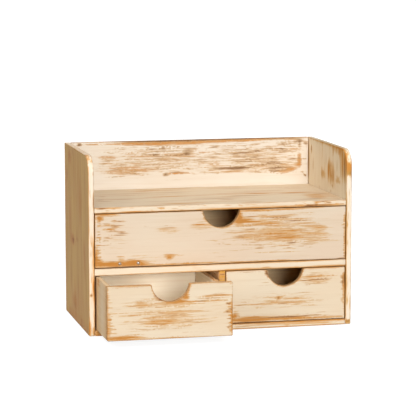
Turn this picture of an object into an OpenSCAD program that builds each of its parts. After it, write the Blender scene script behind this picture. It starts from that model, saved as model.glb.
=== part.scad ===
// Desktop mini drawers: a small cabinet of plain boards with an open tray on
// top, one wide drawer under the tray and two small drawers under that.
// Millimetres. Origin: centre of the cabinet's footprint on the table,
// +X to the right, -Y to the front (where the drawers open), +Z up.
// The lower left drawer rests partly drawn out.

/* [Cabinet] */
// Width over the two side panels
cab_w = 345; // [300:1:400]
// Depth from the front edges to the back
cab_d = 180; // [165:1:210]
// Height from the table to the top of the tray walls
cab_h = 228; // [215:1:260]
// Thickness of the side panels
side_t = 7.5; // [6:0.5:10]
// Thickness of the back panel
back_t = 7.5; // [6:0.5:10]
// Radius of the rounded upper front corner of each side panel
corner_r = 22; // [10:1:35]

/* [Shelves] */
// Thickness of the bottom panel
bottom_t = 7.5; // [6:0.5:9]
// Height of the middle shelf's underside above the table
mid_z = 77; // [72:1:84]
// Thickness of the middle shelf
mid_t = 9; // [7:0.5:10]
// Height of the top shelf's underside above the table
deck_z = 156; // [150:1:164]
// Thickness of the top shelf, the tray's floor
deck_t = 7.5; // [6:0.5:9]
// Thickness of the divider between the two small drawers
divider_t = 8.5; // [6:0.5:10]

/* [Drawers] */
// Thickness of the drawer fronts
front_t = 9; // [7:0.5:11]
// Thickness of the drawer walls
wall_t = 6.5; // [5:0.5:8]
// Thickness of the drawer floors
floor_t = 6.5; // [5:0.5:8]
// Gap between a drawer front and the boards beside it
side_gap = 1; // [0.5:0.1:2]
// Gap between the wall edges and the board that the drawer slides on
slide_gap = 0.3; // [0.3:0.1:0.8]
// Gap under a drawer front
under_gap = 1.5; // [0.8:0.1:2.5]
// Gap over a drawer front
over_gap = 1.3; // [0.8:0.1:2.5]
// Gap between a closed drawer and the back panel
rear_gap = 1; // [0.5:0.5:6]
// How much lower the right wall of a small drawer is than its left wall
wall_drop = 8.5; // [0:0.5:14]
// How far the lower left drawer is drawn out
left_open = 75; // [0:1:110]

/* [Finger notches] */
// Radius of the half-round notch in a drawer front
notch_r = 24; // [16:1:28]
// Height of the notch's centre above the front's upper edge
notch_rise = 2.5; // [0:0.5:5]

/* [Nails] */
// Diameter of a nail's shank
nail_d = 1.4; // [1:0.1:2]
// Diameter of a nail's head
nail_head_d = 2.6; // [2:0.1:3.4]
// Length of a nail
nail_l = 19; // [14:1:22]
// Depth that the filled and painted heads are set below the wood
nail_set = 0.4; // [0.2:0.1:0.8]

/* [Hidden] */

hw = cab_w / 2;
y_front = -cab_d / 2;
y_back = cab_d / 2;
inner_hw = hw - side_t;
shelf_d = cab_d - back_t;
mid_top = mid_z + mid_t;
deck_top = deck_z + deck_t;
// closed drawers end short of the back panel
drawer_d = shelf_d - rear_gap;
head_t = 0.7;

// A drawer is [x of the left end, x of the right end, height of the board it
// slides on, height of the board above it, drop of the right wall, drawn out]
wide = [-inner_hw + side_gap, inner_hw - side_gap, mid_top, deck_z, 0, 0];
left = [-inner_hw + 2 * side_gap, -divider_t / 2 - side_gap, bottom_t, mid_z, wall_drop, left_open];
right = [divider_t / 2 + side_gap, inner_hw - 1.3 * side_gap, bottom_t, mid_z, wall_drop, 0];

cream = [0.96, 0.89, 0.76];
cream_shade = [0.90, 0.82, 0.68];
bare_wood = [0.80, 0.58, 0.34];
steel = [0.45, 0.40, 0.36];

// ---------------------------------------------------------------- helpers
module board(x0, x1, y0, y1, z0, z1) {
    translate([x0, y0, z0]) cube([x1 - x0, y1 - y0, z1 - z0]);
}

// One nail whose head lies at the origin and whose point lies along +Z,
// turned so that the point lies along dir
module nail(p, dir) {
    rot = dir == "+x" ? [0, 90, 0] : dir == "-x" ? [0, -90, 0]
        : dir == "+y" ? [-90, 0, 0] : dir == "-y" ? [90, 0, 0]
        : dir == "-z" ? [180, 0, 0] : [0, 0, 0];
    translate(p) rotate(rot) {
        cylinder(h = head_t, d = nail_head_d, $fn = 24);
        cylinder(h = nail_l, d = nail_d, $fn = 24);
    }
}

// ---------------------------------------------------------------- cabinet
// Side board, its upper front corner rounded
module side_board(x0) {
    translate([x0, 0, 0]) rotate([90, 0, 90])
        linear_extrude(side_t) difference() {
            translate([y_front, 0]) square([cab_d, cab_h]);
            translate([y_front, cab_h - corner_r]) difference() {
                translate([-1, 0]) square([corner_r + 1, corner_r + 1]);
                translate([corner_r, 0]) circle(r = corner_r, $fn = 96);
            }
        }
}
module left_side_panel() { color(cream_shade) side_board(-hw); }
module right_side_panel() { color(cream_shade) side_board(hw - side_t); }
module back_panel() {
    color(cream) board(-inner_hw, inner_hw, y_back - back_t, y_back, 0, cab_h);
}
module shelf(z0, t) {
    board(-inner_hw, inner_hw, y_front, y_back - back_t, z0, z0 + t);
}
module top_shelf() { color(cream) shelf(deck_z, deck_t); }
module middle_shelf() { color(cream) shelf(mid_z, mid_t); }
module bottom_panel() { color(cream) shelf(0, bottom_t); }
module centre_divider() {
    color(bare_wood)
        board(-divider_t / 2, divider_t / 2, y_front, y_back - back_t, bottom_t, mid_z);
}

// Nails through the side panels into the shelves and the back panel
module side_panel_nails() {
    color(steel) for (s = [-1, 1]) {
        for (z = [bottom_t / 2, mid_z + mid_t / 2, deck_z + deck_t / 2])
            for (y = [y_front + 38, y_front + 128])
                nail([s * (hw - nail_set), y, z], s > 0 ? "-x" : "+x");
        for (z = [40, 118, 196])
            nail([s * (hw - nail_set), y_back - back_t / 2, z], s > 0 ? "-x" : "+x");
    }
}
// Nails through the back panel into the rear edges of the shelves
module back_panel_nails() {
    color(steel)
        for (z = [bottom_t / 2, mid_z + mid_t / 2, deck_z + deck_t / 2])
            for (x = [-110, 0, 110])
                nail([x * cab_w / 345, y_back, z], "-y");
}
// Nails through the middle shelf and the bottom panel into the divider
module divider_nails() {
    color(steel) for (y = [y_front + 38, y_front + 128]) {
        nail([0, y, mid_top - nail_set], "-z");
        nail([0, y, 0.1], "+z");
    }
}

// ---------------------------------------------------------------- drawers
function yf(d) = y_front - d[5];
function z_low(d) = d[2] + slide_gap;
function z_front(d) = d[2] + under_gap;
function z_top(d) = d[3] - over_gap;
function z_floor(d) = d[2] + slide_gap + 2;
function y_rear(d) = yf(d) + drawer_d;

// Front board with the half-round notch in its upper edge
module drawer_front(d, notch_x) {
    translate([0, yf(d) + front_t, 0]) rotate([90, 0, 0])
        linear_extrude(front_t) difference() {
            translate([d[0], z_front(d)]) square([d[1] - d[0], z_top(d) - z_front(d)]);
            translate([notch_x, z_top(d) + notch_rise]) circle(r = notch_r, $fn = 96);
        }
}
// Wall boards stand on the floor of the opening, inside the ends of the front
module left_wall(d) {
    board(d[0], d[0] + wall_t, yf(d) + front_t, y_rear(d), z_low(d), z_top(d));
}
module right_wall(d) {
    board(d[1] - 1.8 - wall_t, d[1] - 1.8, yf(d) + front_t, y_rear(d), z_low(d), z_top(d) - d[4]);
}
module drawer_back(d) {
    board(d[0] + wall_t, d[1] - 1.8 - wall_t, y_rear(d) - wall_t, y_rear(d), z_low(d), z_top(d) - d[4]);
}
module drawer_floor(d) {
    board(d[0] + wall_t, d[1] - 1.8 - wall_t, yf(d) + front_t, y_rear(d) - wall_t,
        z_floor(d), z_floor(d) + floor_t);
}
// Nails: through the front into the floor's edge at each x of floor_x, through
// the front into both walls, and through the walls into the back and the floor.
// The first seen_n of the floor's nails are left bare, flush with the front.
module drawer_nails(d, floor_x, seen_n) {
    zf = z_floor(d) + floor_t / 2;
    zw = z_low(d) + (z_top(d) - d[4] - z_low(d)) * 0.72;
    for (i = [0 : len(floor_x) - 1])
        nail([floor_x[i], yf(d) + (i < seen_n ? 0 : nail_set), zf], "+y");
    for (x = [d[0] + wall_t / 2, d[1] - 1.8 - wall_t / 2])
        for (z = [zf, zw])
            nail([x, yf(d) + nail_set, z], "+y");
    for (z = [zf, zw]) {
        nail([d[0] + nail_set, y_rear(d) - wall_t / 2, z], "+x");
        nail([d[1] - 1.8 - nail_set, y_rear(d) - wall_t / 2, z], "-x");
    }
    for (y = [yf(d) + 55, yf(d) + 115]) {
        nail([d[0] + nail_set, y, zf], "+x");
        nail([d[1] - 1.8 - nail_set, y, zf], "-x");
    }
}

module wide_drawer_front() { color(cream) drawer_front(wide, -0.9); }
module wide_drawer_left_wall() { color(cream_shade) left_wall(wide); }
module wide_drawer_right_wall() { color(cream_shade) right_wall(wide); }
module wide_drawer_back() { color(cream_shade) drawer_back(wide); }
module wide_drawer_floor() { color(cream_shade) drawer_floor(wide); }
module wide_drawer_nails() {
    color(steel) drawer_nails(wide, [-hw + 40, -hw + 63.7, -30, 30, hw - 60], 2);
}

module left_drawer_front() { color(cream) drawer_front(left, -hw + 89); }
module left_drawer_left_wall() { color(cream_shade) left_wall(left); }
module left_drawer_right_wall() { color(cream_shade) right_wall(left); }
module left_drawer_back() { color(cream_shade) drawer_back(left); }
module left_drawer_floor() { color(cream_shade) drawer_floor(left); }
module left_drawer_nails() {
    color(steel) drawer_nails(left, [-hw + 48, -hw + 130], 0);
}

module right_drawer_front() { color(cream) drawer_front(right, hw - 88.8); }
module right_drawer_left_wall() { color(cream_shade) left_wall(right); }
module right_drawer_right_wall() { color(cream_shade) right_wall(right); }
module right_drawer_back() { color(cream_shade) drawer_back(right); }
module right_drawer_floor() { color(cream_shade) drawer_floor(right); }
module right_drawer_nails() {
    color(steel) drawer_nails(right, [hw - 130, hw - 48], 0);
}

left_side_panel();
right_side_panel();
back_panel();
top_shelf();
middle_shelf();
bottom_panel();
centre_divider();
side_panel_nails();
back_panel_nails();
divider_nails();
wide_drawer_front();
wide_drawer_left_wall();
wide_drawer_right_wall();
wide_drawer_back();
wide_drawer_floor();
wide_drawer_nails();
left_drawer_front();
left_drawer_left_wall();
left_drawer_right_wall();
left_drawer_back();
left_drawer_floor();
left_drawer_nails();
right_drawer_front();
right_drawer_left_wall();
right_drawer_right_wall();
right_drawer_back();
right_drawer_floor();
right_drawer_nails();
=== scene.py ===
import math

import bpy
import numpy as np
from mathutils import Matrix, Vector, geometry


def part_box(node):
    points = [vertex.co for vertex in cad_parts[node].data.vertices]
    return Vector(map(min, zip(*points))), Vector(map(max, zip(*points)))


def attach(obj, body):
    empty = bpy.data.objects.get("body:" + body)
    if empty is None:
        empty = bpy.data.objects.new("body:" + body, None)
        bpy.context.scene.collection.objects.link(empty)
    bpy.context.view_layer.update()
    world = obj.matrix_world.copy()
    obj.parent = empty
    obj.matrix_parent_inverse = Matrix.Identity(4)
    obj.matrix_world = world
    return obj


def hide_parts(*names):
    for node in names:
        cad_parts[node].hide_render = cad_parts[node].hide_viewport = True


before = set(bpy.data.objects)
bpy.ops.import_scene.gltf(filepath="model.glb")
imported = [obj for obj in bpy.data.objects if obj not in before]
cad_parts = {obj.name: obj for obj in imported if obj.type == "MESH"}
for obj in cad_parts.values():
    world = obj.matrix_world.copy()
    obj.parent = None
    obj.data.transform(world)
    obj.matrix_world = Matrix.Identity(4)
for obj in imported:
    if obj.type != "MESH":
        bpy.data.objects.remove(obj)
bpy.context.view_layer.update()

# Everything below is in millimetres in the row's frame until a mesh is made, and in metres after that.
MM = 0.001
scene = bpy.context.scene

# ------------------------------------------------------------------ camera
cam_data = bpy.data.cameras.new("camera")
cam_data.sensor_width = 36.0
cam_data.lens = 165.7
cam_data.clip_start, cam_data.clip_end = 0.05, 200.0
camera = bpy.data.objects.new("camera", cam_data)
scene.collection.objects.link(camera)
camera.location = (-0.58314, -2.42689, 0.49193)
camera.rotation_euler = (math.radians(90 - 7.86), 0.0, math.radians(-13.58))
scene.camera = camera


# ------------------------------------------------------------------ noise for the geometry
def _hash(ix, iy, iz, seed):
    n = (ix * 374761393 + iy * 668265263 + iz * 1442695041 + seed * 1274126177) & 0xFFFFFFFF
    n = ((n ^ (n >> 13)) * 1274126177) & 0xFFFFFFFF
    n = ((n ^ (n >> 15)) * 2246822519) & 0xFFFFFFFF
    return ((n ^ (n >> 16)) & 0xFFFF) / 65535.0


def vnoise(p, seed=0):
    """Smooth value noise from -1 to 1, one cell to a unit."""
    p = np.asarray(p, float).reshape(-1, 3)
    i = np.floor(p).astype(np.int64)
    f = p - i
    f = f * f * (3 - 2 * f)
    out = np.zeros(len(p))
    for dx in (0, 1):
        wx = f[:, 0] if dx else 1 - f[:, 0]
        for dy in (0, 1):
            wy = f[:, 1] if dy else 1 - f[:, 1]
            for dz in (0, 1):
                wz = f[:, 2] if dz else 1 - f[:, 2]
                out += wx * wy * wz * _hash(i[:, 0] + dx, i[:, 1] + dy, i[:, 2] + dz, seed)
    return out * 2 - 1


def fbm(p, seed=0, octaves=3):
    p = np.asarray(p, float).reshape(-1, 3)
    out, amp, total = np.zeros(len(p)), 1.0, 0.0
    for k in range(octaves):
        out += amp * vnoise(p * 2**k, seed + 17 * k)
        total += amp
        amp *= 0.5
    return out / total


# ------------------------------------------------------------------ outlines
def fillet(points, radii, arc_step=0.5):
    """A closed counter-clockwise polygon with each corner rounded to its radius. Returns the points and the sharp corners."""
    n = len(points)
    out = []
    for i in range(n):
        p, a, b = (np.array(points[j % n], float) for j in (i, i - 1, i + 1))
        r = radii[i]
        if r <= 0:
            out.append(p)
            continue
        da, db = (a - p) / np.linalg.norm(a - p), (b - p) / np.linalg.norm(b - p)
        half = math.acos(max(-1, min(1, float(da @ db)))) / 2
        cut = min(r / math.tan(half), 0.45 * np.linalg.norm(a - p), 0.45 * np.linalg.norm(b - p))
        r = cut * math.tan(half)
        centre = p + (da + db) / np.linalg.norm(da + db) * (r / math.sin(half))
        s, e = p + da * cut - centre, p + db * cut - centre
        t0, t1 = math.atan2(s[1], s[0]), math.atan2(e[1], e[0])
        turn = (t1 - t0 + math.pi) % (2 * math.pi) - math.pi
        steps = max(3, int(abs(turn) * r / arc_step))
        for k in range(steps + 1):
            t = t0 + turn * k / steps
            out.append(centre + r * np.array([math.cos(t), math.sin(t)]))
    return out


def densify(points, seg):
    out = []
    n = len(points)
    for i in range(n):
        a, b = np.array(points[i], float), np.array(points[(i + 1) % n], float)
        d = np.linalg.norm(b - a)
        if d < 1e-6:
            continue
        k = max(1, int(round(d / seg)))
        for j in range(k):
            out.append(a + (b - a) * j / k)
    return np.array(out)


def rect(u0, v0, u1, v1, rf=1.3):
    c = [(u0, v0), (u1, v0), (u1, v1), (u0, v1)]
    rf = rf if isinstance(rf, (list, tuple)) else [rf] * 4
    return fillet(c, rf), c


def seg_distance(p, poly):
    """Distance of each point to a closed polygon."""
    a, b = poly, np.roll(poly, -1, 0)
    best = np.full(len(p), 1e9)
    for i in range(0, len(p), 2000):
        q = p[i : i + 2000, None, :]
        ab = (b - a)[None]
        t = np.clip(((q - a[None]) * ab).sum(2) / np.maximum((ab**2).sum(2), 1e-12), 0, 1)
        d = np.linalg.norm(q - (a[None] + ab * t[..., None]), axis=2)
        best[i : i + 2000] = d.min(1)
    return best


def inside(p, poly):
    x, y = p[:, 0], p[:, 1]
    res = np.zeros(len(p), bool)
    j = len(poly) - 1
    for i in range(len(poly)):
        xi, yi, xj, yj = *poly[i], *poly[j]
        if yi != yj:
            hit = ((yi > y) != (yj > y)) & (x < (xj - xi) * (y - yi) / (yj - yi) + xi)
            res ^= hit
        j = i
    return res


# ------------------------------------------------------------------ a board with worn arrises
def scatter(patches, grain, stroke, seed):
    """Spreads each field of streaks, a patch whose kind begins with n, into separate short streaks along the grain."""
    out = []
    for i, p in enumerate(patches):
        if p[0][0] != "n":
            out.append(p)
            continue
        kind, side, cu, cv, ru, rv, amount, count, half = p
        rng = np.random.default_rng(seed * 101 + i)
        while count > 0:
            a, b = rng.uniform(-1, 1, 2)
            long, wide, much = half * rng.uniform(0.35, 1.5), stroke * rng.uniform(0.42, 0.80), amount * rng.uniform(0.55, 1.4)
            if a**4 + b**4 > 1:
                continue
            size = (long, wide) if grain == "u" else (wide, long)
            out.append((kind[1], side, cu + ru * a, cv + rv * b, *size, much))
            count -= 1
    return out


def dashes(seed, along, lo, hi, count, amount, thick=7.5, half=(1.5, 7.0), at=-90.0):
    """Short rubbed and stained dashes along a board's front edge; along is x on a shelf and z on a side panel."""
    rng = np.random.default_rng(seed)
    out = []
    for _ in range(count):
        c, h, place, width, much = rng.uniform(lo, hi), rng.uniform(*half), rng.uniform(0.5, thick - 0.5), rng.uniform(0.35, 0.8), amount * rng.uniform(0.5, 1.4)
        kind = "d" if rng.uniform() < 0.6 else "b"
        where = (c, at, h, 3) if along == "x" else (at, c, 3, h)
        out.append((kind, "R") + where + (much, place, width))
    return out


PLANES = {
    # name: (which world axes u and v are, their signs, the normal's axis and sign)
    "front": ((0, 1), (2, 1), (1, -1)),
    "up": ((0, 1), (1, 1), (2, 1)),
    "right": ((1, 1), (2, 1), (0, 1)),
    "left": ((1, -1), (2, 1), (0, -1)),
}


def board(
    node,
    plane,
    mat,
    body,
    outline=None,
    corners=None,
    rf=1.3,
    r0=0.85,
    step=4.2,
    grain="u",
    patches=(),
    chips=(),
    dimples=(),
    tones=(0.0, 0.0, 0.0),
    wears=(0.0, 0.0, 0.0),
    rough_edge=1.0,
    rim=1.0,
    wave=0.22,
    fine=None,
    stroke=1.0,
    seed=1,
):
    """Builds the visual piece of one board: both faces, rounded and worn arrises, rim.
    tones and wears are the base values on the front face, the back face and the rim. fine is a stretch across
    the grain, and the spacing of the points there, and stroke widens the scattered streaks."""
    lo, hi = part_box(node)
    lo, hi = np.array(lo) / MM, np.array(hi) / MM
    (ua, us), (va, vs), (na, ns) = PLANES[plane]
    u0, u1 = sorted((lo[ua] * us, hi[ua] * us))
    v0, v1 = sorted((lo[va] * vs, hi[va] * vs))
    thick = hi[na] - lo[na]
    base_n = lo[na] if ns > 0 else hi[na]
    if outline is None:
        outline, corners = rect(u0, v0, u1, v1, rf)
    elif us < 0:
        outline = [(-p[0], p[1]) for p in outline][::-1]
        corners = [(-p[0], p[1]) for p in corners]
    q = densify(outline, 3.0)
    n = len(q)
    tang = np.roll(q, -1, 0) - np.roll(q, 1, 0)
    tang /= np.linalg.norm(tang, axis=1)[:, None]
    inward = np.stack([-tang[:, 1], tang[:, 0]], 1)
    corner = np.array(corners, float)
    near_corner = np.linalg.norm(q[:, None] - corner[None], axis=2).min(1)
    s3 = np.column_stack([q / 14.0, np.full(n, 3.7)])

    def radius(side):
        r = r0 * (1.0 + 0.45 * rough_edge * vnoise(s3, seed + (5 if side else 9)) + 0.35 * rough_edge * vnoise(s3 * 3.1, seed + 23))
        for c in chips:
            if c[0] in ("A", "F" if side else "B"):
                cu, cv = (c[1] * us, c[2])
                d = np.hypot(q[:, 0] - cu, q[:, 1] - cv)
                r = r + c[4] * np.exp(-((d / c[3]) ** 2))
        r = np.clip(r, 0.25, thick * 0.38)
        return np.where(near_corner < 3.0, np.minimum(r, 0.92 * 1.3), r)

    rim_in = rim * (0.06 + 0.10 * (1 + vnoise(s3 * 1.7, seed + 31)) * 0.5 + 0.12 * (1 + vnoise(s3 * 0.35, seed + 37)) * 0.5)
    verts, edge, side_of, face_w = [], [], [], []
    rings = {}

    def add(uv, h, e, s, w=1.0):
        start = len(verts)
        for k in range(len(uv)):
            verts.append((uv[k][0], uv[k][1], h[k] if hasattr(h, "__len__") else h))
            edge.append(e[k] if hasattr(e, "__len__") else e)
            side_of.append(s)
            face_w.append(w)
        return list(range(start, start + len(uv)))

    order = []
    angles = [math.radians(t) for t in (90, 62, 34, 0)]
    r_f, r_b = radius(True), radius(False)
    for side, r in ((True, r_f), (False, r_b)):
        got = []
        uv = q + inward * (r + 0.7 + rim_in * 0.3)[:, None]
        hh = np.full(n, thick if side else 0.0)
        got.append(add(uv, hh, r + 0.7, side))
        for t, w in zip(angles, (1.0, 0.7, 0.3, 0.0)):
            uv = q + inward * (r * (1 - math.cos(t)) + rim_in)[:, None]
            drop = r * (1 - math.sin(t))
            hh = (thick - drop) if side else drop
            got.append(add(uv, hh, np.minimum(r * (1 - math.cos(t)), 0.5) * 0.6, side, w))
        rings[side] = got
    rows = []
    for j in range(1, 7):
        t = j / 7
        hh = (thick - r_f) * (1 - t) + r_b * t
        uv = q + inward * (rim_in * (1.0 + 0.5 * vnoise(s3 * 2.3, seed + 40 + j)))[:, None]
        e = np.minimum(np.minimum(hh, thick - hh), near_corner)
        rows.append(add(uv, hh, e, None, 0.0))
    chain = rings[True] + rows + rings[False][::-1]
    faces = []
    for a, b in zip(chain[:-1], chain[1:]):
        for i in range(n):
            j = (i + 1) % n
            faces.append((a[i], b[i], b[j], a[j]))

    def ticks(a, b, dense):
        out, x = [], a + step * 0.5
        while x < b - step * 0.4:
            out.append(x)
            x += dense[2] if dense and dense[0] <= x < dense[1] else step
        return np.array(out)

    tu = ticks(u0, u1, fine if grain == "v" else None)
    tv = ticks(v0, v1, fine if grain == "u" else None)
    gu, gv = np.meshgrid(tu, tv)
    grid = np.column_stack([gu.ravel(), gv.ravel()])
    jig = np.column_stack([vnoise(np.column_stack([grid * 0.71, np.zeros(len(grid))]), seed + 51), vnoise(np.column_stack([grid * 0.73, np.ones(len(grid))]), seed + 52)])
    narrow = fine[2] if fine else step
    grid = grid + jig * 0.16 * (np.array([step, narrow]) if grain == "u" else np.array([narrow, step]))
    holes = [(d[0] * us, d[1], d[2], d[3], d[4]) for d in dimples]  # u, v, radius, depth, side
    for side in (True, False):
        ring = rings[side][0]
        loop = np.array([verts[i][:2] for i in ring])
        pts = grid[inside(grid, loop)]
        if len(pts):
            pts = pts[seg_distance(pts, loop) > narrow * 0.45]
        extra = []
        for (hu, hv, hr, hd, hs) in holes:
            if hs != ("F" if side else "B"):
                continue
            if len(pts):
                pts = pts[np.hypot(pts[:, 0] - hu, pts[:, 1] - hv) > hr * 1.9 + 0.6]
            extra.append((hu, hv))
            for rr, cnt in ((0.45, 8), (0.8, 12), (1.0, 14), (1.2, 14), (1.7, 12)):
                for k in range(cnt):
                    t = 2 * math.pi * (k + (0.5 if cnt == 12 else 0)) / cnt
                    extra.append((hu + hr * rr * math.cos(t), hv + hr * rr * math.sin(t)))
        if extra:
            extra = np.array(extra)
            ok = inside(extra, loop)
            extra = extra[ok]
            if len(extra):
                extra = extra[seg_distance(extra, loop) > 0.25]
            pts = np.vstack([pts, extra]) if len(pts) else extra
        coords = [Vector(p) for p in loop] + [Vector(p) for p in pts]
        vo, _, fo, orig, _, _ = geometry.delaunay_2d_cdt(coords, [(i, (i + 1) % n) for i in range(n)], [list(range(n))], 1, 1e-5)
        index = {}
        for k, p in enumerate(vo):
            src = [i for i in orig[k] if i < n]
            if src:
                index[k] = ring[src[0]]
            else:
                uv = np.array([[p.x, p.y]])
                index[k] = add(uv, thick if side else 0.0, 99.0, side)[0]
        for f in fo:
            ids = [index[k] for k in f]
            if len(set(ids)) < 3:
                continue
            a, b, c = (verts[i] for i in ids[:3])
            area = (b[0] - a[0]) * (c[1] - a[1]) - (b[1] - a[1]) * (c[0] - a[0])
            if (area > 0) != side:
                ids = ids[::-1]
            faces.append(tuple(ids))

    v = np.array(verts, float)
    e = np.array(edge, float)
    sd = np.array([0 if s is None else (1 if s else -1) for s in side_of])
    far = e > 50
    if far.any():
        e[far] = seg_distance(v[far][:, :2], q)
    # the faces are a little hollow and wavy, and only ever lower than the drawn board
    uvn = np.column_stack([v[:, :2] / 55.0, sd * 3.0])
    dip = wave * (0.5 + 0.5 * fbm(uvn, seed + 61)) + 0.05 * (1 + vnoise(uvn * np.array([2.0, 9.0, 1.0]) if grain == "u" else uvn * np.array([9.0, 2.0, 1.0]), seed + 67))
    for (hu, hv, hr, hd, hs) in holes:
        d = np.hypot(v[:, 0] - hu, v[:, 1] - hv)
        on = sd == (1 if hs == "F" else -1)
        dip = dip + np.where(on, hd * np.clip(1.25 - d / hr, 0, 1) ** 0.7, 0.0)
    v[:, 2] = np.where(sd > 0, v[:, 2] - dip, np.where(sd < 0, v[:, 2] + dip, v[:, 2]))

    # attributes that the material reads
    fw = np.array(face_w, float)
    flat = np.where(sd > 0, 1.0, np.where(sd < 0, -1.0, 0.0))
    blend = lambda three: np.where(flat > 0, three[0] * fw + three[2] * (1 - fw), np.where(flat < 0, three[1] * fw + three[2] * (1 - fw), three[2]))
    wear, tone = blend(wears).astype(float), blend(tones).astype(float)
    dark, solid, bare = np.zeros(len(v)), np.zeros(len(v)), np.zeros(len(v))
    high = np.clip(v[:, 2] / thick, 0, 1)
    weights = {
        "F": np.where(flat > 0, 0.5 + 0.5 * fw, np.where(flat == 0, 0.5 * high**2, 0.0)),
        "B": np.where(flat < 0, 0.5 + 0.5 * fw, np.where(flat == 0, 0.5 * (1 - high) ** 2, 0.0)),
        "R": np.where(flat == 0, 1.0, 1.0 - fw),
        "A": np.ones(len(v)),
    }
    for p in scatter(patches, grain, stroke, seed):
        kind, side, cu, cv, ru, rv, amount = p[:7]
        cu = cu * us
        if kind[0] == "o":  # a ring round a notch: radius ru, width rv
            at = np.nonzero(np.abs(np.hypot(v[:, 0] - cu, v[:, 1] - cv) - ru) < 3 * rv)[0]
            d = np.hypot(v[at, 0] - cu, v[at, 1] - cv)
            f = np.exp(-(((d - ru) / rv) ** 2))
            f = f * (0.75 + 0.5 * vnoise(np.column_stack([v[at, :2] / 9.0, np.zeros(len(at))]), seed + 71))
            kind = kind[1]
        else:
            at = np.nonzero((np.abs(v[:, 0] - cu) < 2.2 * ru) & (np.abs(v[:, 1] - cv) < 2.2 * rv))[0]
            d2 = ((v[at, 0] - cu) / ru) ** 2 + ((v[at, 1] - cv) / rv) ** 2
            f = np.exp(-(d2**1.5))
        f = f * weights[side][at] * amount
        if len(p) > 7:  # placed through the thickness too
            f = f * np.exp(-((((v[at, 2] - p[7]) / p[8]) ** 2) ** 1.5))
        {"w": wear, "s": solid, "b": bare, "d": dark, "t": tone}[kind][at] += f

    limit = 0.50  # however the soft patches pile up, some paint is left between the streaks
    wear = np.where(wear > 0, limit * np.tanh(1.2 * np.maximum(wear, 0) / limit), wear)
    wear = wear + 0.60 * np.tanh(np.maximum(solid, 0) / 0.60) + 1.15 * np.tanh(np.maximum(bare, 0) / 1.15)
    dark = 0.95 * np.tanh(dark / 0.95)
    world = np.zeros((len(v), 3))
    world[:, ua] = v[:, 0] * us
    world[:, va] = v[:, 1] * vs
    world[:, na] = base_n + ns * v[:, 2]
    mesh = bpy.data.meshes.new("vis_" + node)
    mesh.from_pydata([tuple(p) for p in world * MM], [], faces)
    along, across = (v[:, 0], v[:, 1]) if grain == "u" else (v[:, 1], v[:, 0])
    g = np.column_stack([along, across, v[:, 2]]) * MM + np.array([seed * 0.731, seed * 0.377, seed * 0.193])
    for name, data in (("edge", e), ("wear", wear), ("dark", dark), ("tone", np.clip(tone, 0, 1))):
        mesh.attributes.new(name, "FLOAT", "POINT").data.foreach_set("value", data.astype(np.float32))
    mesh.attributes.new("grain", "FLOAT_VECTOR", "POINT").data.foreach_set("vector", g.astype(np.float32).ravel())
    mesh.validate()
    mesh.update()
    mesh.shade_smooth()
    mesh.materials.append(mat)
    obj = bpy.data.objects.new("vis_" + node, mesh)
    scene.collection.objects.link(obj)
    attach(obj, body)
    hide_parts(node)
    return obj


# ------------------------------------------------------------------ materials
def lin(r, g, b):
    """An 8-bit sRGB colour as a linear RGBA."""
    def f(c):
        c /= 255.0
        return c / 12.92 if c <= 0.04045 else ((c + 0.055) / 1.055) ** 2.4
    return (f(r), f(g), f(b), 1.0)


class Nodes:
    def __init__(self, mat):
        mat.use_nodes = True
        self.t = mat.node_tree
        self.t.nodes.clear()

    def new(self, kind):
        return self.t.nodes.new(kind)

    def link(self, a, b):
        self.t.links.new(a, b)

    def put(self, socket, value):
        if isinstance(value, bpy.types.NodeSocket):
            self.link(value, socket)
        elif value is not None:
            socket.default_value = value

    def math(self, op, a, b=None, clamp=False):
        n = self.new("ShaderNodeMath")
        n.operation, n.use_clamp = op, clamp
        self.put(n.inputs[0], a)
        self.put(n.inputs[1], b)
        return n.outputs[0]

    def add(self, a, b):
        return self.math("ADD", a, b)

    def mul(self, a, b, clamp=False):
        return self.math("MULTIPLY", a, b, clamp)

    def attr(self, name, out="Fac"):
        n = self.new("ShaderNodeAttribute")
        n.attribute_type = "GEOMETRY"
        n.attribute_name = name
        return n.outputs[out]

    def vmath(self, op, a, b):
        n = self.new("ShaderNodeVectorMath")
        n.operation = op
        self.put(n.inputs[0], a)
        self.put(n.inputs[1], b)
        return n.outputs[0]

    def noise(self, vec, scale, detail=3.0, rough=0.55, distortion=0.0, color=False):
        n = self.new("ShaderNodeTexNoise")
        n.noise_dimensions = "3D"
        n.inputs["Scale"].default_value = 1.0
        n.inputs["Detail"].default_value = detail
        n.inputs["Roughness"].default_value = rough
        n.inputs["Distortion"].default_value = distortion
        self.link(self.vmath("MULTIPLY", vec, scale), n.inputs["Vector"])
        return n.outputs["Color" if color else "Fac"]

    def ramp(self, x, a, b, c=0.0, d=1.0):
        n = self.new("ShaderNodeMapRange")
        n.interpolation_type = "SMOOTHSTEP"
        n.clamp = True
        self.put(n.inputs["Value"], x)
        n.inputs["From Min"].default_value, n.inputs["From Max"].default_value = a, b
        n.inputs["To Min"].default_value, n.inputs["To Max"].default_value = c, d
        return n.outputs["Result"]

    def mix(self, fac, a, b, blend="MIX"):
        n = self.new("ShaderNodeMix")
        n.data_type, n.blend_type, n.clamp_factor = "RGBA", blend, True
        self.put(n.inputs[0], fac)
        self.put(n.inputs[6], a)
        self.put(n.inputs[7], b)
        return n.outputs[2]


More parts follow.
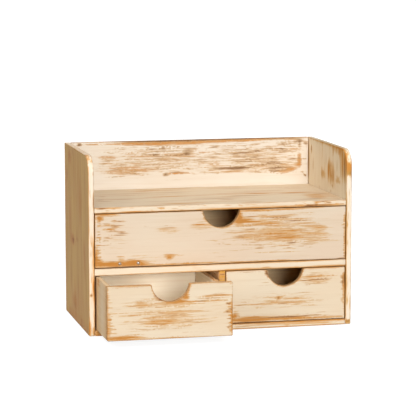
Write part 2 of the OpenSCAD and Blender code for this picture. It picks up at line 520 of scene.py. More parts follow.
def painted_wood(name, paint=(245, 219, 190), paint2=(247, 226, 199), thin=(235, 197, 146), thin2=(228, 178, 120), wood=((238, 186, 120), (228, 166, 92), (198, 132, 64)),
                 deep=(209, 136, 52), haze=(214, 162, 104), stain=(128, 74, 28), base=0.03, sigma=0.30, streak=(34, 620, 620), fine=(85, 1250, 1250), patch=(13, 80, 80), edge_w=2.0, edge_amount=0.24,
                 arris_amount=0.6, knots=(), tan=(0.93, 0.74, 0.46), rough=0.56, wash=0.25, gain=0.70):
    """Cream paint over stained pine, rubbed through in streaks that follow the grain and along the arrises."""
    mat = bpy.data.materials.new(name)
    k = Nodes(mat)
    L = lambda r, g, b: tuple(c * gain for c in lin(r, g, b)[:3]) + (1.0,)
    g = k.attr("grain", "Vector")
    edge, wear, dark, tone = (k.attr(x) for x in ("edge", "wear", "dark", "tone"))
    unit = lambda x, gain: k.mul(k.add(x, -0.5), gain)
    bend = k.vmath("MULTIPLY", k.vmath("SUBTRACT", k.noise(g, (7, 24, 24), 2.0, 0.5, color=True), (0.5, 0.5, 0.5)), (0.012, 0.0040, 0.0040))
    gw = k.vmath("ADD", g, bend)
    broad = k.noise(gw, (streak[0] * 0.65, streak[1] * 0.42, streak[2] * 0.42), 2.0, 0.5)
    a = k.noise(gw, streak, 2.0, 0.58)
    b = k.noise(gw, fine, 2.0, 0.60)
    c = k.noise(g, patch, 3.0, 0.55)
    d = k.noise(g, (190, 1300, 1300), 2.0, 0.6)
    s = k.add(k.add(unit(a, 4.4), unit(b, 3.2)), k.add(k.add(unit(c, 1.1), unit(broad, 1.4)), unit(d, 1.2)))

    # how far the paint is rubbed: 0 is whole paint, about 0.5 is thin paint over the stain, 1 is bare wood
    chip = k.ramp(k.noise(g, (70, 190, 190), 3.0, 0.6), 0.34, 0.66)
    near = k.mul(k.mul(k.ramp(edge, 0.0, edge_w, 1.0, 0.0), chip), edge_amount)
    level = k.add(k.add(wear, near), base)
    s = k.mul(k.mul(s, sigma), k.ramp(level, 0.0, 0.26, 0.42, 1.0))  # whole paint is calm
    f = k.add(level, s)
    tint = k.ramp(k.add(level, k.mul(s, 0.6)), 0.05, 0.46)
    thinned = k.ramp(f, 0.14, 0.50)
    bare = k.ramp(f, 0.36, 0.92)

    brush = k.noise(gw, (9, 300, 300), 4.0, 0.62)
    cloud = k.noise(g, (9, 22, 22), 3.0, 0.5)
    col = k.mix(k.ramp(cloud, 0.35, 0.65), L(*paint), L(*paint2))
    col = k.mix(k.ramp(brush, 0.46, 0.76, 0.0, 0.32), col, L(230, 200, 162))
    # where the paint is a thin wash, the wood's own lines show through
    under = k.noise(gw, (6, 210, 210), 5.0, 0.6, 0.4)
    col = k.mix(k.mul(k.ramp(under, 0.38, 0.64, 0.0, wash), k.add(k.mul(tone, 0.8), 0.12)), col, L(206, 166, 112))
    col = k.mix(k.mul(tint, 0.66), col, L(*thin))
    col = k.mix(k.mul(thinned, 0.66), col, L(*thin2))

    ring = k.noise(gw, (16, 330, 330), 4.0, 0.6, 0.8)
    fibre = k.noise(g, (40, 1700, 1700), 3.0, 0.6)
    wood_c = k.mix(k.ramp(ring, 0.36, 0.52), L(*wood[0]), L(*wood[1]))
    wood_c = k.mix(k.ramp(ring, 0.56, 0.70), wood_c, L(*wood[2]))
    wood_c = k.mix(k.ramp(fibre, 0.46, 0.72, 0.0, 0.35), wood_c, L(190, 130, 72))
    wood_c = k.mix(k.ramp(f, 0.62, 1.02, 0.0, 0.85), wood_c, L(*deep))
    col = k.mix(bare, col, wood_c)
    # a brown line where the paint breaks, as the stain collects there
    lip = k.mul(k.ramp(f, 0.38, 0.50), k.ramp(f, 0.52, 0.66, 1.0, 0.0))
    col = k.mix(k.mul(lip, k.ramp(b, 0.42, 0.58, 0.0, 0.34)), col, L(190, 130, 74))
    # brown-grey streaks, where the stain shows through thin paint
    dd = k.add(dark, k.mul(k.add(unit(b, 3.0), unit(a, 3.6)), k.mul(k.ramp(dark, 0.0, 0.30), 0.26)))
    col = k.mix(k.ramp(dd, 0.06, 0.56, 0.0, 0.78), col, L(*haze))
    col = k.mix(k.ramp(dd, 0.42, 1.0, 0.0, 0.92), col, L(*stain))
    # the very arris is rubbed to the stained wood
    arris = k.mul(k.ramp(edge, 0.0, 0.75, 1.0, 0.0), k.ramp(k.noise(g, (45, 90, 90), 3.0, 0.6), 0.38, 0.58))
    col = k.mix(k.mul(arris, arris_amount), col, L(182, 120, 54))
    for (ka, kc, r1, r2, amount) in knots:
        off = k.vmath("SUBTRACT", g, (ka, kc, 0.0))
        off = k.vmath("MULTIPLY", off, (1.0 / r1, 1.0 / r2, 0.0))
        n = k.new("ShaderNodeVectorMath")
        n.operation = "LENGTH"
        k.link(off, n.inputs[0])
        dist = k.add(n.outputs["Value"], unit(c, 0.7))
        eye = k.ramp(dist, 0.25, 1.0, 1.0, 0.0)
        rings_k = k.math("SINE", k.mul(dist, 13.0))
        halo = k.mul(k.ramp(dist, 0.8, 3.0, 1.0, 0.0), k.ramp(rings_k, 0.0, 1.0, 0.25, 0.75))
        col = k.mix(k.mul(halo, 0.5 * amount), col, L(186, 128, 70))
        col = k.mix(k.mul(eye, 0.9 * amount), col, L(138, 84, 42))
    # tone blends in the colour multiplied by tan: on some boards a thin wash where the wood's yellow shows through, on
    # others painted shade.
    tinted = k.mix(1.0, col, (*tan, 1.0), "MULTIPLY")
    final = k.mix(tone, col, tinted)

    bsdf = k.new("ShaderNodeBsdfPrincipled")
    k.link(final, bsdf.inputs["Base Color"])
    k.link(k.add(k.ramp(bare, 0.0, 1.0, rough, 0.78), unit(b, 0.14)), bsdf.inputs["Roughness"])
    bsdf.inputs["Specular IOR Level"].default_value = 0.3
    height = k.add(k.mul(bare, -0.5), k.add(k.mul(s, 0.5), k.add(k.mul(brush, 0.30), k.mul(d, 0.12))))
    bump = k.new("ShaderNodeBump")
    bump.inputs["Strength"].default_value = 0.6
    bump.inputs["Distance"].default_value = 0.0004
    k.link(height, bump.inputs["Height"])
    k.link(bump.outputs[0], bsdf.inputs["Normal"])
    out = k.new("ShaderNodeOutputMaterial")
    k.link(bsdf.outputs[0], out.inputs[0])
    return mat


def nail_metal():
    mat = bpy.data.materials.new("nail_metal")
    k = Nodes(mat)
    tc = k.new("ShaderNodeTexCoord").outputs["Object"]
    n1 = k.noise(tc, (900, 900, 900), 4.0, 0.65)
    n2 = k.noise(tc, (2600, 2600, 2600), 3.0, 0.6)
    col = k.mix(k.ramp(n1, 0.40, 0.62), lin(206, 204, 202), lin(128, 104, 84))
    bsdf = k.new("ShaderNodeBsdfPrincipled")
    k.link(col, bsdf.inputs["Base Color"])
    bsdf.inputs["Metallic"].default_value = 0.9
    k.link(k.ramp(n1, 0.3, 0.7, 0.24, 0.46), bsdf.inputs["Roughness"])
    bump = k.new("ShaderNodeBump")
    bump.inputs["Strength"].default_value = 0.4
    bump.inputs["Distance"].default_value = 0.00008
    k.link(n2, bump.inputs["Height"])
    k.link(bump.outputs[0], bsdf.inputs["Normal"])
    out = k.new("ShaderNodeOutputMaterial")
    k.link(bsdf.outputs[0], out.inputs[0])
    return mat


m_front = painted_wood("cream_front")
m_front_low = painted_wood("cream_front_low", paint=(247, 223, 190), paint2=(249, 229, 199), gain=0.735)
m_back = painted_wood("cream_back", paint=(245, 231, 211), paint2=(249, 237, 220), thin=(230, 200, 160), thin2=(218, 174, 128), wood=((230, 182, 126), (216, 162, 104), (188, 132, 76)), deep=(213, 147, 76), haze=(210, 170, 120), stain=(130, 86, 42),
                      base=0.04, sigma=0.28, streak=(44, 760, 760), fine=(100, 1450, 1450), edge_amount=0.15, arris_amount=0.5, gain=0.69)
m_shelf = painted_wood("cream_shelf", paint=(243, 223, 194), paint2=(246, 228, 200), base=0.04, streak=(9, 300, 300), fine=(30, 800, 800), edge_amount=0.15, arris_amount=0.4, gain=0.80)
# The left side panel's copy has a stronger, darker yellow-tan tint than the paler right one: partly a thin wash over
# the pine, partly painted shade on the side the light misses.
m_side_left_wash_and_shade = painted_wood("cream_side", paint=(243, 224, 199), paint2=(247, 231, 208), base=0.03, streak=(9, 380, 380), fine=(22, 860, 860), edge_amount=0.18, arris_amount=0.4, tan=(0.605, 0.405, 0.098), stain=(150, 92, 34), haze=(212, 164, 100), wash=0.5, gain=0.87)
m_side_r = painted_wood("cream_side_right", paint=(243, 224, 199), paint2=(247, 231, 208), base=0.03, streak=(9, 380, 380), fine=(22, 860, 860), edge_amount=0.18, arris_amount=0.4,
                        tan=(0.50, 0.44, 0.18), thin2=(216, 170, 104), wood=((228, 178, 104), (208, 154, 78), (172, 120, 54)), stain=(142, 90, 32), haze=(200, 148, 72), wash=0.22, gain=0.87)
m_box = painted_wood("box_wash", paint=(252, 236, 209), paint2=(253, 240, 216), base=0.0, edge_amount=0.25, arris_amount=0.6, tan=(0.80, 0.63, 0.36), wash=0.3, gain=1.0)
# The drawers' left walls get a darker copy of the box paint than the right walls: a wash, with painted shade for the
# side in shadow.
m_left_wall_wash_and_shade = painted_wood("left_wall_wash_and_shade", paint=(246, 230, 202), paint2=(249, 235, 210), base=0.0, edge_amount=0.05, arris_amount=0.12, tan=(0.86, 0.62, 0.34), wash=0.10, gain=0.82)
# Painted shade: a darker tan copy of the box paint for the insides of the two shut drawers, standing for the dark seen
# through their notches.
m_inside_painted_shade = painted_wood("inside_painted_shade", paint=(248, 230, 200), paint2=(250, 235, 208), base=0.0, edge_amount=0.25, arris_amount=0.6, tan=(1.0, 0.79, 0.53), wash=0.3, gain=1.0)
m_divider = painted_wood("bare_divider", base=0.9, wood=((220, 166, 84), (200, 138, 56), (138, 88, 32)), deep=(206, 150, 62), gain=0.95)
m_nail = nail_metal()

# Rubbed places, streaks and stains, listed for each board: kind, side, place and half size on the board in millimetres,
# amount. b is bare wood, s hard wear, w soft wear and d a stain, and n before it makes a field of streaks: how many,
# and their half length.
MARKS = {
    "wide": [
        ("b", "F", -146.2, 153.6, 13.5, 1.4, 1.08), ("b", "F", -158.4, 149.4, 3.4, 3.1, 0.79), ("b", "F", -144.9, 154.8, 8.1, 0.6, 0.72),
        ("w", "F", -157.7, 150.7, 4.2, 3.6, 0.36), ("s", "F", -159.3, 151.3, 3, 0.8, 0.47), ("b", "F", -159.9, 146.1, 2.3, 0.9, 1),
        ("b", "F", -160.2, 140.5, 2.3, 1, 1.1), ("b", "F", -160.2, 133, 2.3, 1, 1.19), ("b", "F", -160.3, 125.7, 2.3, 1, 1.19), ("b", "F", -160.3, 122.3, 2.3, 1, 1),
        ("b", "F", -160.4, 115.9, 2.3, 1, 1.19), ("b", "F", -160.4, 109.6, 2.3, 1, 1.19), ("b", "F", -160.4, 105.8, 2.3, 1, 1.1), ("b", "F", -160.5, 101.3, 2.3, 1, 1.1),
        ("b", "F", -160.5, 96.9, 2.3, 1, 1.37), ("d", "F", -159.4, 143.4, 1.5, 0.6, 1.17), ("d", "F", -159.6, 129.7, 1.5, 0.6, 1.17),
        ("d", "F", -159.5, 119.8, 1.7, 0.6, 1.17), ("d", "F", -159.2, 113, 1.3, 0.6, 0.47), ("b", "F", -162.4, 100.1, 1.8, 12.6, 1.08),
        ("d", "F", -137.4, 140.1, 10.8, 0.6, 1.12), ("b", "F", -146.3, 136.1, 6.7, 0.9, 0.6), ("d", "F", -142.5, 133.4, 8.1, 0.6, 0.69),
        ("d", "F", -154.6, 139.8, 4.7, 0.6, 0.47), ("d", "F", -133.5, 144.4, 9.5, 0.5, 0.43), ("d", "F", -150.2, 125.1, 4, 0.5, 0.63),
        ("d", "F", -150.9, 121.3, 3.4, 0.5, 0.63), ("d", "F", -153.5, 114.4, 3.4, 0.5, 0.47), ("d", "F", -153.5, 110, 2, 0.5, 0.47),
        ("d", "F", -143.2, 128.6, 4.7, 0.5, 0.38), ("nd", "F", -140, 129.1, 16.5, 20.3, 0.4, 32, 6.8), ("ns", "F", -141.8, 138.1, 12.1, 8.7, 0.36, 8, 6.8),
        ("d", "F", -71.9, 135.1, 12.3, 0.7, 0.71), ("d", "F", -71.9, 138, 5.5, 0.5, 0.47), ("w", "F", -70.6, 130.7, 11, 0.8, 0.36),
        ("s", "F", -78.4, 133.3, 5.5, 0.6, 0.44), ("w", "F", -70.6, 133.7, 12.8, 5.6, 0.17), ("d", "F", -99, 137.6, 5.5, 0.5, 0.38),
        ("b", "F", -29.1, 137.7, 9.7, 0.8, 0.72), ("d", "F", -25.2, 132.2, 13.8, 0.6, 0.38), ("s", "F", -28.4, 140.8, 6.2, 0.5, 0.44),
        ("w", "F", -26.5, 136, 12.9, 5.6, 0.24), ("d", "F", -33, 126.8, 12.4, 0.5, 0.33), ("b", "F", -159.4, 92.9, 6.2, 4.8, 1.37),
        ("b", "F", -133.1, 91.3, 30.5, 2.2, 1.08), ("b", "F", -142.8, 92.5, 11.3, 2.8, 0.64), ("b", "F", -112, 93.3, 11.3, 2.2, 0.5),
        ("b", "F", -130.3, 89.6, 35.7, 1.7, 1.32), ("b", "F", -47.2, 88.6, 49.7, 0.8, 1.18), ("d", "F", -122.6, 87.6, 43.9, 0.6, 1.5),
        ("b", "F", -130.6, 96.1, 4.8, 2.4, 0.64), ("b", "F", -142.8, 91.7, 19, 0.9, 0.72), ("d", "F", -142.8, 94.6, 8.1, 0.8, 0.8),
        ("s", "F", -131.2, 100.6, 5.4, 0.7, 0.47), ("s", "F", -115.9, 94.7, 10.9, 1.3, 0.47), ("s", "F", -103.6, 100.7, 13, 0.8, 0.47),
        ("s", "F", -107.5, 97.6, 11.6, 0.6, 0.42), ("d", "F", -117.8, 96.7, 7.5, 0.6, 0.69), ("s", "F", -113.3, 93.1, 14.2, 3.1, 0.42),
        ("s", "F", -144.1, 92.2, 9.5, 1, 0.47), ("s", "F", -92.7, 93.3, 12.3, 0.6, 0.42), ("s", "F", -83.7, 98, 11, 0.6, 0.42), ("b", "F", -68.1, 98.8, 6.6, 2.3, 0.86),
        ("b", "F", -69.7, 96.8, 3.7, 1.8, 0.64), ("s", "F", -67.5, 100.8, 8.9, 0.9, 0.44), ("s", "F", -55.8, 99.3, 7.6, 0.6, 0.44),
        ("s", "F", -67.5, 95.9, 4.6, 2, 0.47), ("d", "F", -69.4, 93.3, 4.1, 0.5, 0.47), ("w", "F", -8.2, 116.1, 5.6, 0.6, 0.3), ("w", "F", -11.4, 100.7, 7.6, 0.6, 0.3),
        ("nd", "F", -10.7, 108.4, 23.6, 15, 0.23, 11, 8.1), ("b", "F", 44.4, 153.4, 22.4, 1.3, 1.32), ("b", "F", 82.8, 153.6, 21.1, 0.9, 1.15),
        ("s", "F", 118.8, 154.2, 17, 0.6, 0.44), ("b", "F", 23.3, 144, 3.8, 5.9, 1.32), ("b", "F", 21.4, 140.7, 4.9, 5.7, 0.72), ("b", "F", 30.5, 141.2, 8.7, 3.1, 0.86),
        ("s", "F", 35.2, 135.1, 19.6, 0.8, 0.63), ("b", "F", 39.1, 139.5, 16.8, 1, 1), ("d", "F", 37.8, 146.2, 9.8, 0.6, 0.69), ("d", "F", 39.1, 137.3, 8.4, 0.5, 0.69),
        ("d", "F", 28.6, 133.2, 11.2, 0.6, 0.69), ("s", "F", 69, 146, 38.7, 1, 0.58), ("d", "F", 74.9, 143.6, 23.9, 0.6, 0.69), ("s", "F", 86.3, 140.9, 36, 0.8, 0.61),
        ("s", "F", 65.6, 138.9, 11.3, 0.6, 0.47), ("d", "F", 97.5, 138.9, 18.4, 0.6, 1.12), ("s", "F", 77.6, 135.5, 26.8, 0.6, 0.44),
        ("d", "F", 86.9, 132.3, 17, 0.6, 0.69), ("s", "F", 115.6, 135.3, 13.5, 0.7, 0.55), ("s", "F", 120.3, 130.9, 14.2, 1.4, 0.44),
        ("s", "F", 129.7, 128.6, 11.4, 0.8, 0.44), ("s", "F", 108.1, 148.3, 11.3, 0.6, 0.37), ("w", "F", 76.3, 125.9, 22, 5.7, 0.31),
        ("s", "F", 73, 128.9, 21.8, 0.6, 0.47), ("s", "F", 79, 122.8, 28.2, 0.8, 0.58), ("s", "F", 77.7, 119.3, 33.9, 0.8, 0.63), ("b", "F", 80.4, 116.2, 24, 1.2, 0.45),
        ("s", "F", 81.6, 116.7, 22, 4.3, 0.34), ("s", "F", 81.7, 112.5, 18.4, 0.7, 0.55), ("d", "F", 83, 120.9, 18.4, 0.5, 0.63),
        ("d", "F", 68.4, 114.5, 14.1, 0.5, 0.63), ("s", "F", 84.3, 125.8, 14.1, 0.6, 0.53), ("d", "F", 92.4, 110.2, 7.1, 1, 1.27),
        ("s", "F", 84.4, 106.9, 12.7, 0.9, 0.55), ("d", "F", 87.1, 103.9, 7.1, 0.6, 0.8), ("d", "F", 49.2, 104.7, 6.3, 0.6, 1.12),
        ("s", "F", 61.7, 110.6, 9.9, 0.6, 0.44), ("d", "F", 67.1, 105.9, 7, 0.5, 0.47), ("d", "F", 23.3, 120.8, 12.6, 0.6, 0.71),
        ("s", "F", 30.6, 118.4, 7.7, 0.6, 0.47), ("d", "F", 18.7, 116, 11.9, 0.5, 0.43), ("d", "F", 38.5, 112, 10.5, 0.5, 0.43), ("w", "F", 69.8, 98.9, 26.8, 0.5, 0.42),
        ("d", "F", 29.9, 125.9, 12.6, 0.5, 0.4), ("nd", "F", 66, 124.8, 53.2, 25.2, 0.35, 52, 9.5), ("ns", "F", 69.8, 126, 41.3, 24.8, 0.31, 36, 12.2),
        ("nd", "F", 28.7, 117.2, 23.8, 15.1, 0.3, 18, 8.1), ("w", "F", 123.1, 117.8, 17.8, 8.6, 0.26), ("s", "F", 118.4, 121.8, 16.4, 0.6, 0.42),
        ("s", "F", 131.1, 127.9, 7.4, 3.4, 0.38), ("ns", "F", 123.1, 120.3, 23, 16.4, 0.23, 16, 9.5), ("nd", "F", 123.2, 117.7, 23, 19.1, 0.26, 16, 8.1),
        ("d", "F", 162.4, 135.9, 1.9, 1.3, 0.69), ("s", "F", 162.2, 131.2, 2.1, 0.9, 0.63), ("d", "F", 162.5, 127.3, 1.9, 1.3, 1.2),
        ("b", "F", 163, 139.8, 1.5, 5.7, 0.93), ("b", "F", 163.6, 113.7, 1.2, 20.2, 0.86), ("s", "F", 162.3, 104.6, 2.3, 1, 0.63),
        ("s", "F", 161.4, 97.8, 3.3, 0.8, 0.53), ("d", "F", 163.5, 90.1, 1.2, 5.8, 0.69), ("d", "F", 158.7, 87.4, 6, 0.7, 1.12), ("d", "F", 162.5, 121.6, 1.9, 0.6, 0.8),
        ("d", "F", 162.9, 115.5, 1.6, 0.6, 0.8), ("b", "F", 46.1, 87.6, 52, 0.6, 1.18), ("d", "F", 124.8, 87.5, 34.2, 0.5, 0.47),
    ],
    "left": [
        ("s", "F", -126.8, 51.7, 15.2, 0.7, 0.63), ("s", "F", -120, 52.6, 6.9, 2.6, 0.58), ("s", "F", -118.1, 55.3, 9.9, 0.6, 0.53),
        ("d", "F", -121.2, 48.4, 7.9, 0.6, 0.75), ("d", "F", -132.4, 50.8, 6.6, 0.5, 0.69), ("d", "F", -141.1, 55.1, 9.2, 0.5, 0.36),
        ("s", "F", -98.6, 53.5, 16, 0.6, 0.53), ("s", "F", -81.6, 50.7, 31.4, 0.8, 0.58), ("s", "F", -72.2, 52.6, 17.4, 1.1, 0.63),
        ("s", "F", -73.5, 48.2, 16.1, 0.6, 0.53), ("d", "F", -74.7, 50.4, 10.7, 0.5, 0.69), ("d", "F", -99.9, 48.4, 10.6, 0.5, 0.47),
        ("b", "F", -37, 53.9, 33.3, 0.7, 1.08), ("d", "F", -44.4, 53.8, 8.1, 0.6, 1.35), ("s", "F", -39.9, 59, 12.8, 0.6, 0.58), ("b", "F", -23.1, 59.9, 18.6, 0.7, 1),
        ("s", "F", -22.8, 61.2, 8.1, 0.9, 0.63), ("d", "F", -26.9, 57, 22.6, 0.6, 0.75), ("d", "F", -29.1, 60.4, 8.1, 0.5, 0.69),
        ("w", "F", -134.9, 42.8, 26.4, 0.6, 0.43), ("s", "F", -127.5, 39.6, 19.9, 0.6, 0.47), ("s", "F", -84.1, 42, 35.4, 0.8, 0.53),
        ("d", "F", -84.2, 37.7, 27.4, 0.6, 0.63), ("s", "F", -86.7, 39.9, 11.3, 1.1, 0.42), ("d", "F", -116.2, 45.5, 17.2, 0.5, 0.38),
        ("d", "F", -46.9, 40.5, 18.8, 0.5, 0.36), ("s", "F", -97.5, 29.7, 15.2, 2.8, 0.53), ("s", "F", -79.7, 31.2, 44.1, 0.8, 0.58),
        ("s", "F", -79.7, 27.9, 41.5, 0.7, 0.53), ("s", "F", -87.4, 25.3, 25.4, 0.6, 0.47), ("d", "F", -126.3, 31.5, 13.2, 0.5, 0.69),
        ("d", "F", -59.6, 29.2, 14.8, 0.5, 0.69), ("s", "F", -82.4, 31.7, 8.3, 1.9, 0.38), ("s", "F", -102.5, 35.3, 18.6, 0.6, 0.53),
        ("d", "F", -95, 26.6, 13.3, 0.5, 0.47), ("d", "F", -38, 24.5, 14.8, 0.5, 0.33), ("d", "F", -89.8, 21.3, 36.1, 0.6, 0.38),
        ("s", "F", -121.3, 19.5, 13.3, 0.5, 0.42), ("s", "F", -130.1, 15.7, 11.9, 0.6, 0.5), ("d", "F", -68.5, 15.4, 17.4, 0.5, 0.33),
        ("nd", "F", -95.8, 39.7, 56.5, 20.1, 0.28, 46, 9.5), ("ns", "F", -89.5, 40.1, 55.3, 19.4, 0.25, 32, 12.2), ("nd", "F", -69.6, 18.6, 40.5, 7, 0.2, 11, 9.5),
        ("b", "F", -8.3, 49.5, 3.1, 1.4, 1.22), ("d", "F", -11, 49.3, 3.8, 0.9, 1.65), ("b", "F", -8.7, 45.3, 3.5, 0.9, 1), ("b", "F", -9.9, 39.4, 4.7, 1.5, 1.51),
        ("d", "F", -11.5, 39, 3.5, 1.1, 1.8), ("b", "F", -7.4, 34.5, 2.2, 1.1, 1.15), ("b", "F", -7.7, 30.5, 2.4, 0.9, 1.29), ("d", "F", -9.3, 30.2, 2.6, 1, 1.72),
        ("b", "F", -8, 24.9, 2.8, 0.9, 1.15), ("b", "F", -8.3, 19.9, 3.1, 0.9, 1.22), ("d", "F", -10.2, 19.8, 2.4, 0.9, 1.65), ("b", "F", -7.3, 15.5, 2, 2, 1.22),
        ("b", "F", -6.1, 29.4, 1.4, 20.9, 1), ("d", "F", -7.8, 42.4, 1.8, 0.6, 1.2), ("d", "F", -7.7, 22.2, 1.6, 0.6, 1.2), ("d", "F", -13.8, 53.4, 2.7, 0.6, 1.2),
        ("s", "F", -158.6, 56.4, 3.8, 0.8, 0.5), ("s", "F", -159.2, 50.2, 3.3, 0.6, 0.42), ("w", "F", -157.1, 43.9, 4.2, 0.6, 0.41),
        ("b", "F", -158.7, 35.3, 2.6, 0.8, 0.72), ("b", "F", -157.4, 27.5, 3.3, 0.9, 0.77), ("s", "F", -156.5, 22.7, 3.7, 0.8, 0.58),
        ("s", "F", -156.3, 18.3, 5.3, 0.8, 0.53), ("b", "F", -161.7, 28, 1.5, 15.1, 0.77), ("s", "F", -162.2, 60.3, 1, 16.4, 0.42), ("d", "F", -158, 39.5, 2, 0.6, 0.69),
        ("d", "F", -157.3, 31, 2, 0.6, 0.69), ("d", "F", -156.5, 25, 2.4, 0.6, 0.69), ("b", "F", -142.2, 11.4, 22.1, 2.6, 1.37), ("s", "F", -142.6, 14.8, 6.6, 0.6, 0.5),
        ("b", "F", -90.5, 8.9, 34.1, 0.9, 0.93), ("b", "F", -32.9, 8.7, 28.4, 0.6, 0.72), ("d", "F", -143.9, 9.3, 19.8, 0.6, 0.47),
        ("d", "F", -107.6, 8.4, 2.7, 0.6, 1.35), ("d", "F", -87.5, 8.7, 2.7, 0.6, 1.35), ("d", "F", -101.1, 62.3, 4.1, 2.2, 1.35),
        ("d", "F", -96.1, 57.9, 4.1, 1.8, 1.35), ("b", "F", -73.5, 55.1, 8.3, 1.8, 1), ("b", "F", -64.6, 59.5, 3.3, 2.8, 1.15), ("s", "F", -63.4, 64.7, 2.8, 4.1, 0.53),
        ("d", "F", -135.4, 74.9, 27, 0.6, 0.69), ("d", "F", -31.6, 74.7, 26.9, 0.5, 0.47), ("s", "F", -7.5, 74.3, 2.2, 1.4, 0.63),
    ],
    "right": [
        ("b", "F", 126.9, 65, 22.1, 0.8, 0.93), ("d", "F", 117.5, 65.6, 12.1, 0.5, 0.75), ("d", "F", 127.5, 70.2, 12.9, 0.5, 0.34),
        ("d", "F", 123.6, 60.4, 17.1, 1, 0.83), ("d", "F", 131, 61.8, 7.9, 0.6, 1.12), ("d", "F", 118.9, 55.9, 13.6, 0.6, 0.71),
        ("w", "F", 120.9, 60.3, 16.3, 5.8, 0.22), ("nd", "F", 126.3, 61.4, 23, 8.8, 0.33, 18, 8.1), ("d", "F", 59.2, 72, 1.9, 3.2, 1.5),
        ("d", "F", 61.4, 67.5, 1.5, 1.7, 1.35), ("d", "F", 57.2, 75.2, 1.5, 2, 1.2), ("d", "F", 58, 59.7, 7.1, 0.6, 0.63), ("d", "F", 56.7, 56.1, 11.3, 0.5, 0.4),
        ("b", "F", 75.1, 38.7, 2.9, 1.9, 1.37), ("d", "F", 75.1, 38.7, 1.6, 1.2, 1.2), ("s", "F", 82.2, 32.2, 38.3, 1.5, 0.47), ("d", "F", 80.8, 31.2, 11.3, 0.6, 0.8),
        ("s", "F", 98.2, 37.1, 18.5, 0.6, 0.58), ("s", "F", 96.9, 32.6, 14.2, 0.6, 0.53), ("d", "F", 127.8, 34.1, 12.9, 0.6, 0.47),
        ("s", "F", 33.5, 31.6, 21.8, 0.8, 0.57), ("d", "F", 24.2, 31.3, 11.9, 0.5, 0.69), ("d", "F", 32.2, 38.4, 14.8, 0.5, 0.34),
        ("ns", "F", 79.7, 35.2, 48.2, 9.3, 0.31, 14, 12.2), ("nd", "F", 89.1, 35.5, 52.3, 10.2, 0.26, 18, 9.5), ("w", "F", 18.3, 20.4, 4.4, 3.4, 0.42),
        ("s", "F", 18, 24.3, 3.9, 0.6, 0.53), ("s", "F", 18.9, 17.7, 6.3, 0.9, 0.58), ("b", "F", 15.1, 16.1, 3.2, 4.3, 1), ("s", "F", 15.6, 28.3, 2.8, 0.6, 0.47),
        ("d", "F", 18.3, 21.2, 2.8, 0.5, 0.69), ("b", "F", 37.6, 12.6, 26.1, 3.1, 1.73), ("b", "F", 83, 12.2, 26.3, 2.2, 1.58), ("d", "F", 82.3, 13.7, 24.1, 1.2, 1.65),
        ("d", "F", 44.9, 13.9, 18.3, 0.6, 0.8), ("d", "F", 39.6, 9.1, 24, 0.6, 1.35), ("b", "F", 133.9, 11, 32, 1, 1.29), ("d", "F", 121.3, 14.1, 20, 1, 0.78),
        ("d", "F", 133.4, 17.9, 7.2, 0.6, 0.63), ("d", "F", 119.9, 16.8, 14.3, 0.5, 0.43), ("d", "F", 124, 9.5, 21.5, 0.5, 0.69), ("b", "F", 162.3, 56, 1.8, 10.9, 1.37),
        ("d", "F", 161.2, 57.4, 1.3, 7.5, 1.42), ("s", "F", 159.9, 47.4, 2.1, 1.4, 0.63), ("s", "F", 161.4, 63.9, 2.4, 2.3, 0.58),
        ("s", "F", 160.3, 32.4, 1.2, 2.9, 0.53), ("b", "F", 163.6, 34.8, 0.9, 26.2, 0.89), ("s", "F", 135.6, 75.4, 30, 0.6, 0.53), ("d", "F", 28.8, 74, 25.2, 0.5, 0.47),
        ("s", "F", 6.1, 52.1, 0.9, 22.9, 0.47),
    ],
    "back": [
        ("b", "F", -135, 224.5, 10.1, 0.9, 1.29), ("d", "F", -153.2, 224.7, 2.7, 2.1, 2.1), ("s", "F", -105.7, 224.7, 23.8, 0.7, 0.63),
        ("d", "F", -33.6, 227.3, 57, 1.3, 1.5), ("b", "F", -33.6, 224.3, 57, 2.5, 1.58), ("b", "F", 58.1, 225.8, 43.1, 1.8, 1.44),
        ("d", "F", 58.1, 227.7, 43.1, 0.8, 1.2), ("d", "F", 128.6, 227, 33.1, 0.8, 0.83), ("d", "F", 152, 223.2, 4.7, 2.9, 1.35),
        ("s", "F", 140.6, 225.2, 14.3, 0.9, 0.58), ("w", "F", -116.1, 206.8, 10.5, 3.7, 0.26), ("s", "F", -116.8, 207.1, 9.4, 0.8, 0.53),
        ("d", "F", -113.4, 202.4, 11.5, 0.5, 0.43), ("w", "F", -87.6, 188, 37.8, 4.5, 0.19), ("s", "F", -99.8, 192.2, 24.6, 0.7, 0.48),
        ("s", "F", -89.5, 188.8, 35.5, 0.7, 0.48), ("s", "F", -96.4, 185.7, 25.4, 0.7, 0.42), ("d", "F", -105.3, 190.2, 17.4, 0.5, 0.8),
        ("d", "F", -83.4, 183.9, 29, 0.5, 0.63), ("d", "F", -104, 180.5, 14.5, 0.7, 0.83), ("d", "F", -66.2, 195.4, 25.5, 0.5, 0.46),
        ("d", "F", -79.3, 199.2, 24.7, 0.5, 0.46), ("d", "F", -106.6, 195.1, 14.5, 0.5, 0.47), ("s", "F", -117.5, 198.5, 8.7, 0.5, 0.42),
        ("s", "F", -60, 206.9, 21.9, 1.1, 0.59), ("d", "F", -51.1, 216.7, 18.2, 0.6, 0.69), ("d", "F", -35.1, 219.7, 30.7, 0.6, 0.8),
        ("d", "F", -32.4, 213.4, 27.8, 0.6, 0.69), ("s", "F", -31.1, 209.3, 26.4, 0.7, 0.59), ("s", "F", -32.5, 203.3, 13.2, 1.3, 0.63),
        ("d", "F", -39.3, 201.4, 35.1, 0.5, 0.63), ("d", "F", -21.4, 207.5, 16.1, 0.6, 1.12), ("d", "F", -32.5, 197.2, 27.8, 0.5, 0.49),
        ("d", "F", -22.8, 192.8, 19.1, 0.5, 0.63), ("d", "F", -35.3, 189.3, 10.3, 0.6, 1.12), ("d", "F", -35.3, 181.5, 2.7, 2.4, 1.27),
